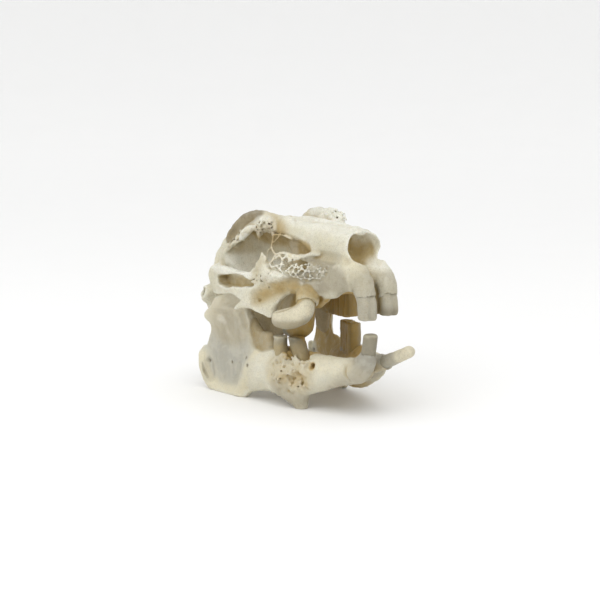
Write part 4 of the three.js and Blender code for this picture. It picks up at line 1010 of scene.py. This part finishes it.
def makePiece(name, field, finish, node, tints, side=0, whole=None):
    points, quads = field.mesh()
    mesh = bpy.data.meshes.new(name)
    mesh.vertices.add(len(points))
    mesh.vertices.foreach_set("co", ((points + setup["shift"]) * setup["metres"]).astype(np.float32).ravel())
    mesh.loops.add(quads.size)
    mesh.loops.foreach_set("vertex_index", quads.astype(np.int32).ravel())
    mesh.polygons.add(len(quads))
    mesh.polygons.foreach_set("loop_start", np.arange(0, quads.size, 4, dtype=np.int32))
    mesh.update(calc_edges=True)
    mesh.validate()
    mesh.polygons.foreach_set("use_smooth", np.ones(len(mesh.polygons), bool))
    normals = np.empty(len(points) * 3, np.float32)
    mesh.vertex_normals.foreach_get("vector", normals)
    layers = tintAt(points, normals.reshape(-1, 3), stainsAndPaintedLight[tints], side)
    # painted shade and painted highlight: the share of bone round each point sets the hollow, deep and ridge
    # layers
    radii = {radius for radius, start, growth in wearAndShade.values()}
    shares = {radius: (whole or field).solidShare(points, radius) for radius in radii}
    for layer, (radius, start, growth) in wearAndShade.items():
        layers[layer] = eased((shares[radius] - start) / growth)
    for layer, values in layers.items():
        mesh.attributes.new(layer, "FLOAT", "POINT").data.foreach_set("value", values.astype(np.float32))
    mesh.materials.append(finish)
    piece = bpy.data.objects.new(name, mesh)
    scene.collection.objects.link(piece)
    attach(piece, "root")
    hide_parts(node)
    report("%s, %d faces" % (name, len(quads)))


# finishes

boneFinish = {
    "bone": (0.60, 0.57, 0.44), "pale": (0.67, 0.65, 0.54), "white": (0.80, 0.795, 0.71),
    "cream": (0.71, 0.65, 0.47), "grey": (0.29, 0.255, 0.185), "ochre": (0.44, 0.34, 0.165),
    "brown": (0.46, 0.30, 0.075), "umber": (0.16, 0.13, 0.08),
    "roughness": (0.5, 0.75), "poreSize": 0.5, "bump": 1.0, "subsurface": 0.1,
}
jawFinish = {
    **boneFinish, "bone": (0.62, 0.59, 0.47), "pale": (0.68, 0.66, 0.55), "grey": (0.41, 0.395, 0.335),
}
toothFinish = {
    "bone": (0.33, 0.303, 0.225), "pale": (0.37, 0.35, 0.285), "white": (0.66, 0.61, 0.46),
    "cream": (0.48, 0.44, 0.33), "grey": (0.23, 0.207, 0.15), "ochre": (0.43, 0.325, 0.145),
    "brown": (0.44, 0.285, 0.07), "umber": (0.15, 0.12, 0.07),
    "roughness": (0.28, 0.5), "poreSize": 0.9, "bump": 0.18, "subsurface": 0.15,
}
mottle = {  # shared by the three finishes, sizes in mm
    "broad": {"size": 7, "detail": 4}, "fine": {"size": 1.1, "detail": 4, "rough": 0.6, "warp": 0.4},
    "grain": {"size": 0.3, "detail": 3, "rough": 0.6},
    "patch": {"size": 3.5, "detail": 5, "rough": 0.65, "warp": 0.6},
    "paleFrom": (0.35, 0.65), "patchFrom": (0.35, 0.7), "poreFrom": (0.05, 0.3), "grainFrom": (0.45, 0.75),
    "tintFrom": (0.1, 0.8), "stainAndShadeFrom": (0.1, 0.5), "roughFrom": (0.3, 0.7),
    "leastTint": 0.75, "leastStainAndShade": 0.7,  # share of a layer that stays between the patches
    "patchCream": 0.4, "ridgeHighlight": 0.55, "hollowShadeOchre": 0.65, "deepShadeBrown": 0.3, "poreOchre": 0.22,
    "grainGrey": 0.38, "bumpDepth": 0.00028, "poreDepth": 0.35,
    "stainAndShadeShares": (0.5, 0.5), "roughShares": (0.6, 0.4), "bumpShares": (0.6, 0.3),
    "scatter": (1.0, 0.7, 0.4), "scatterDepth": 0.001, "shine": 0.2,
}


class Finish:  # a material and short calls that add nodes to it
    def __init__(self, name):
        self.material = bpy.data.materials.new(name)
        self.material.use_nodes = True
        self.tree = self.material.node_tree
        self.shader = self.tree.nodes["Principled BSDF"]
        self.place = self.add("ShaderNodeTexCoord").outputs["Object"]

    def add(self, kind, **settings):
        node = self.tree.nodes.new(kind)
        for key, value in settings.items():
            setattr(node, key, value)
        return node

    def wire(self, value, socket):
        if isinstance(value, bpy.types.NodeSocket):
            self.tree.links.new(value, socket)
        elif isinstance(value, tuple) and len(value) == 3 and socket.type == "RGBA":
            socket.default_value = (*value, 1)
        else:
            socket.default_value = value

    def layer(self, name):
        return self.add("ShaderNodeAttribute", attribute_name=name).outputs["Fac"]

    def noise(self, size, detail=3, rough=0.55, warp=0):  # size of a lump in mm
        node = self.add("ShaderNodeTexNoise")
        self.wire(self.place, node.inputs["Vector"])
        node.inputs["Scale"].default_value = 1000 / size
        node.inputs["Detail"].default_value = detail
        node.inputs["Roughness"].default_value = rough
        node.inputs["Distortion"].default_value = warp
        return node.outputs["Fac"]

    def cells(self, size):
        node = self.add("ShaderNodeTexVoronoi")
        self.wire(self.place, node.inputs["Vector"])
        node.inputs["Scale"].default_value = 1000 / size
        return node.outputs["Distance"]

    def span(self, value, low, high, to=(0, 1)):
        node = self.add("ShaderNodeMapRange", interpolation_type="SMOOTHSTEP")
        for socket, v in zip(("Value", "From Min", "From Max", "To Min", "To Max"), (value, low, high, *to)):
            self.wire(v, node.inputs[socket])
        return node.outputs["Result"]

    def math(self, kind, a, b):
        node = self.add("ShaderNodeMath", operation=kind, use_clamp=kind != "SUBTRACT")
        self.wire(a, node.inputs[0])
        self.wire(b, node.inputs[1])
        return node.outputs[0]

    def part(self, value, share):
        return self.math("MULTIPLY", value, share)

    def both(self, a, b, shares):
        return self.math("ADD", self.part(a, shares[0]), self.part(b, shares[1]))

    def mix(self, factor, a, b):
        node = self.add("ShaderNodeMix", data_type="RGBA", blend_type="MIX")
        for socket, v in zip((node.inputs[0], node.inputs[6], node.inputs[7]), (factor, a, b)):
            self.wire(v, socket)
        return node.outputs[2]


def makeFinish(name, look):
    m, k = Finish(name), mottle
    broad, fine, grain = m.noise(**k["broad"]), m.noise(**k["fine"]), m.noise(**k["grain"])
    pores = m.span(m.cells(look["poreSize"]), *k["poreFrom"], (1.0, 0.0))
    patches = m.span(m.noise(**k["patch"]), *k["patchFrom"])
    colour = m.mix(m.span(broad, *k["paleFrom"]), look["bone"], look["pale"])
    colour = m.mix(m.part(patches, k["patchCream"]), colour, look["cream"])
    for layer in ("grey", "cream", "white"):
        amount = m.part(m.layer(layer), m.span(patches, *k["tintFrom"], (k["leastTint"], 1.0)))
        colour = m.mix(amount, colour, look[layer])
    # painted highlight: ridges are painted white
    colour = m.mix(m.part(m.layer("ridge"), k["ridgeHighlight"]), colour, look["white"])
    # painted shade: ochre grows in hollows and brown deep in, on top of the ochre and brown layers, which
    # also carry stains
    for layer, helper, share in (("ochre", "hollow", k["hollowShadeOchre"]), ("brown", "deep", k["deepShadeBrown"])):
        amount = m.math("ADD", m.layer(layer), m.part(m.layer(helper), share))
        uneven = m.span(m.both(patches, fine, k["stainAndShadeShares"]), *k["stainAndShadeFrom"], (k["leastStainAndShade"], 1.0))
        colour = m.mix(m.part(amount, uneven), colour, look[layer])
    amount = m.part(m.layer("umber"), m.span(patches, *k["tintFrom"], (k["leastStainAndShade"], 1.0)))
    colour = m.mix(amount, colour, look["umber"])
    colour = m.mix(m.part(pores, k["poreOchre"]), colour, look["ochre"])
    colour = m.mix(m.span(grain, *k["grainFrom"], (0.0, k["grainGrey"])), colour, look["grey"])
    sockets = m.shader.inputs
    m.wire(colour, sockets["Base Color"])
    sheen = m.both(fine, grain, k["roughShares"])
    m.wire(m.span(sheen, *k["roughFrom"], look["roughness"]), sockets["Roughness"])
    bump = m.add("ShaderNodeBump")
    bump.inputs["Strength"].default_value = look["bump"]
    bump.inputs["Distance"].default_value = k["bumpDepth"]
    height = m.math("SUBTRACT", m.both(fine, grain, k["bumpShares"]), m.part(pores, k["poreDepth"]))
    m.wire(height, bump.inputs["Height"])
    m.wire(bump.outputs["Normal"], sockets["Normal"])
    sockets["Subsurface Weight"].default_value = look["subsurface"]
    sockets["Subsurface Radius"].default_value = k["scatter"]
    sockets["Subsurface Scale"].default_value = k["scatterDepth"]
    sockets["Specular IOR Level"].default_value = k["shine"]
    return m.material


boneCell = setup["boneCell"]
toothCell = setup["toothCell"]
boneMaterial = makeFinish("old_bone", boneFinish)
jawMaterial = makeFinish("jaw_bone", jawFinish)
toothMaterial = makeFinish("tooth_ivory", toothFinish)
report("finishes")


def socketOf(spec, side):
    return tube({**spec, "flat": None, "blend": teeth["socketEdge"]}, side)


skullField = buildCranium(boneCell)
# the painted shade in hollows and painted highlight on ridges are measured on this twin, where the sockets
# count as filled
wholeField = skullField.twin()  # teeth count as bone when edges and hollows are looked for
skullField.carve(socketOf(teeth["bowed"], sides["right"]))
for side in sides.values():
    socket = socketOf(teeth["upperIncisor"], side)
    skullField.carve(socket)
    wholeField.fuse(socket)
makePiece("cranium_bone", skullField, boneMaterial, "cranium", "cranium", whole=wholeField)
for name, side in sides.items():
    jawField = buildMandible(name, boneCell)
    wholeField = jawField.twin()
    socket = socketOf(teeth["lowerIncisor"][name], side)
    jawField.carve(socket)
    wholeField.fuse(socket)
    makePiece(
        "jaw_bone_" + name, jawField, jawMaterial, "mandible_" + name, "mandible",
        side, wholeField)
toothHomes = {  # rows and pegs belong to their bone, other teeth stand for themselves
    "peg": "cranium", "upper_teeth": "cranium", "inner": "cranium",
    "lower_tooth_right": "mandible_right", "lower_teeth_left": "mandible_left",
}
for name, field in buildTeeth(toothCell).items():
    home = next((node for start, node in toothHomes.items() if name.startswith(start)), name)
    makePiece(name + "_piece", field, toothMaterial, home, "tooth")


# floor, light and camera

studio = {
    "floorColour": (0.95, 0.95, 0.945), "floorSize": 2.4, "floorRise": 0.9, "floorFlat": 0.6,
    "floorRings": 24, "floorSteps": 72, "floorMottle": 0.985, "floorLump": 40,
    "floorRoughness": 0.9, "floorShine": 0.1,
    "skyTop": 1.3, "skySide": 0.2,
    "key": {"power": 0.22, "size": 0.25, "at": (0.2, -0.12, 0.38)},
    "fill": {"power": 0.42, "size": 0.25, "at": (0.16, -0.4, 0.3)},
    "lightAim": (0, 0, 0.025),
    "target": (0.0, 0.0, 23.8), "turn": 58, "rise": 8, "away": 380, "lens": 91.2, "sensor": 36,
    "clip": (0.01, 20),
}


def makeFloor():
    rings, steps = studio["floorRings"], studio["floorSteps"]
    size, rise, flat = studio["floorSize"], studio["floorRise"], studio["floorFlat"]
    turns = [2 * math.pi * k / steps for k in range(steps)]
    points, faces = [(0, 0, 0)], []
    for i in range(1, rings + 1):
        r = size * i / rings
        z = rise * max(0, (r / size - flat) / (1 - flat)) ** 2
        points += [(r * math.cos(t), r * math.sin(t), z) for t in turns]
    for k in range(steps):
        faces.append((0, 1 + k, 1 + (k + 1) % steps))
        for i in range(rings - 1):
            a, b = 1 + i * steps + k, 1 + i * steps + (k + 1) % steps
            faces.append((a, a + steps, b + steps, b))
    mesh = bpy.data.meshes.new("studio_floor")
    mesh.from_pydata(points, [], faces)
    mesh.polygons.foreach_set("use_smooth", np.ones(len(faces), bool))
    m = Finish("floor_paper")
    colour = studio["floorColour"]
    mottled = m.mix(m.noise(studio["floorLump"], 2), colour, tuple(studio["floorMottle"] * v for v in colour))
    m.wire(mottled, m.shader.inputs["Base Color"])
    m.shader.inputs["Roughness"].default_value = studio["floorRoughness"]
    m.shader.inputs["Specular IOR Level"].default_value = studio["floorShine"]
    mesh.materials.append(m.material)
    floor = bpy.data.objects.new("studio_floor", mesh)
    scene.collection.objects.link(floor)


def makeLight(name, power, size, at):
    lamp = bpy.data.lights.new(name, "AREA")
    lamp.energy, lamp.size = power, size
    lamp.shape = "DISK"
    light = bpy.data.objects.new(name, lamp)
    light.location = at
    light.rotation_mode = "QUATERNION"
    light.rotation_quaternion = (Vector(studio["lightAim"]) - light.location).to_track_quat("-Z", "Y")
    scene.collection.objects.link(light)


def makeCamera():
    turn, rise = math.radians(studio["turn"]), math.radians(studio["rise"])
    back = Vector((math.sin(turn) * math.cos(rise), -math.cos(turn) * math.cos(rise), math.sin(rise)))
    target = (Vector(studio["target"]) + Vector(setup["shift"])) * setup["metres"]
    data = bpy.data.cameras.new("camera")
    data.lens, data.sensor_width = studio["lens"], studio["sensor"]
    data.clip_start, data.clip_end = studio["clip"]
    camera = bpy.data.objects.new("camera", data)
    camera.location = target + back * studio["away"] * setup["metres"]
    camera.rotation_mode = "QUATERNION"
    camera.rotation_quaternion = (-back).to_track_quat("-Z", "Y")
    scene.collection.objects.link(camera)
    scene.camera = camera


def makeSky():  # bright overhead, dimmer towards the horizon
    world = bpy.data.worlds.new("studio_sky")
    world.use_nodes = True
    nodes, links = world.node_tree.nodes, world.node_tree.links
    place, split = nodes.new("ShaderNodeTexCoord"), nodes.new("ShaderNodeSeparateXYZ")
    span = nodes.new("ShaderNodeMapRange")
    links.new(place.outputs["Generated"], split.inputs[0])
    links.new(split.outputs["Z"], span.inputs["Value"])
    span.inputs["To Min"].default_value = studio["skySide"]
    span.inputs["To Max"].default_value = studio["skyTop"]
    links.new(span.outputs["Result"], nodes["Background"].inputs["Strength"])
    nodes["Background"].inputs["Color"].default_value = (1, 1, 1, 1)
    scene.world = world


makeFloor()
for name in ("key", "fill"):
    makeLight(name, **studio[name])
makeCamera()
makeSky()
scene.view_settings.view_transform = "Standard"
report("floor, light and camera")

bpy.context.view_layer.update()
report("boxes written")
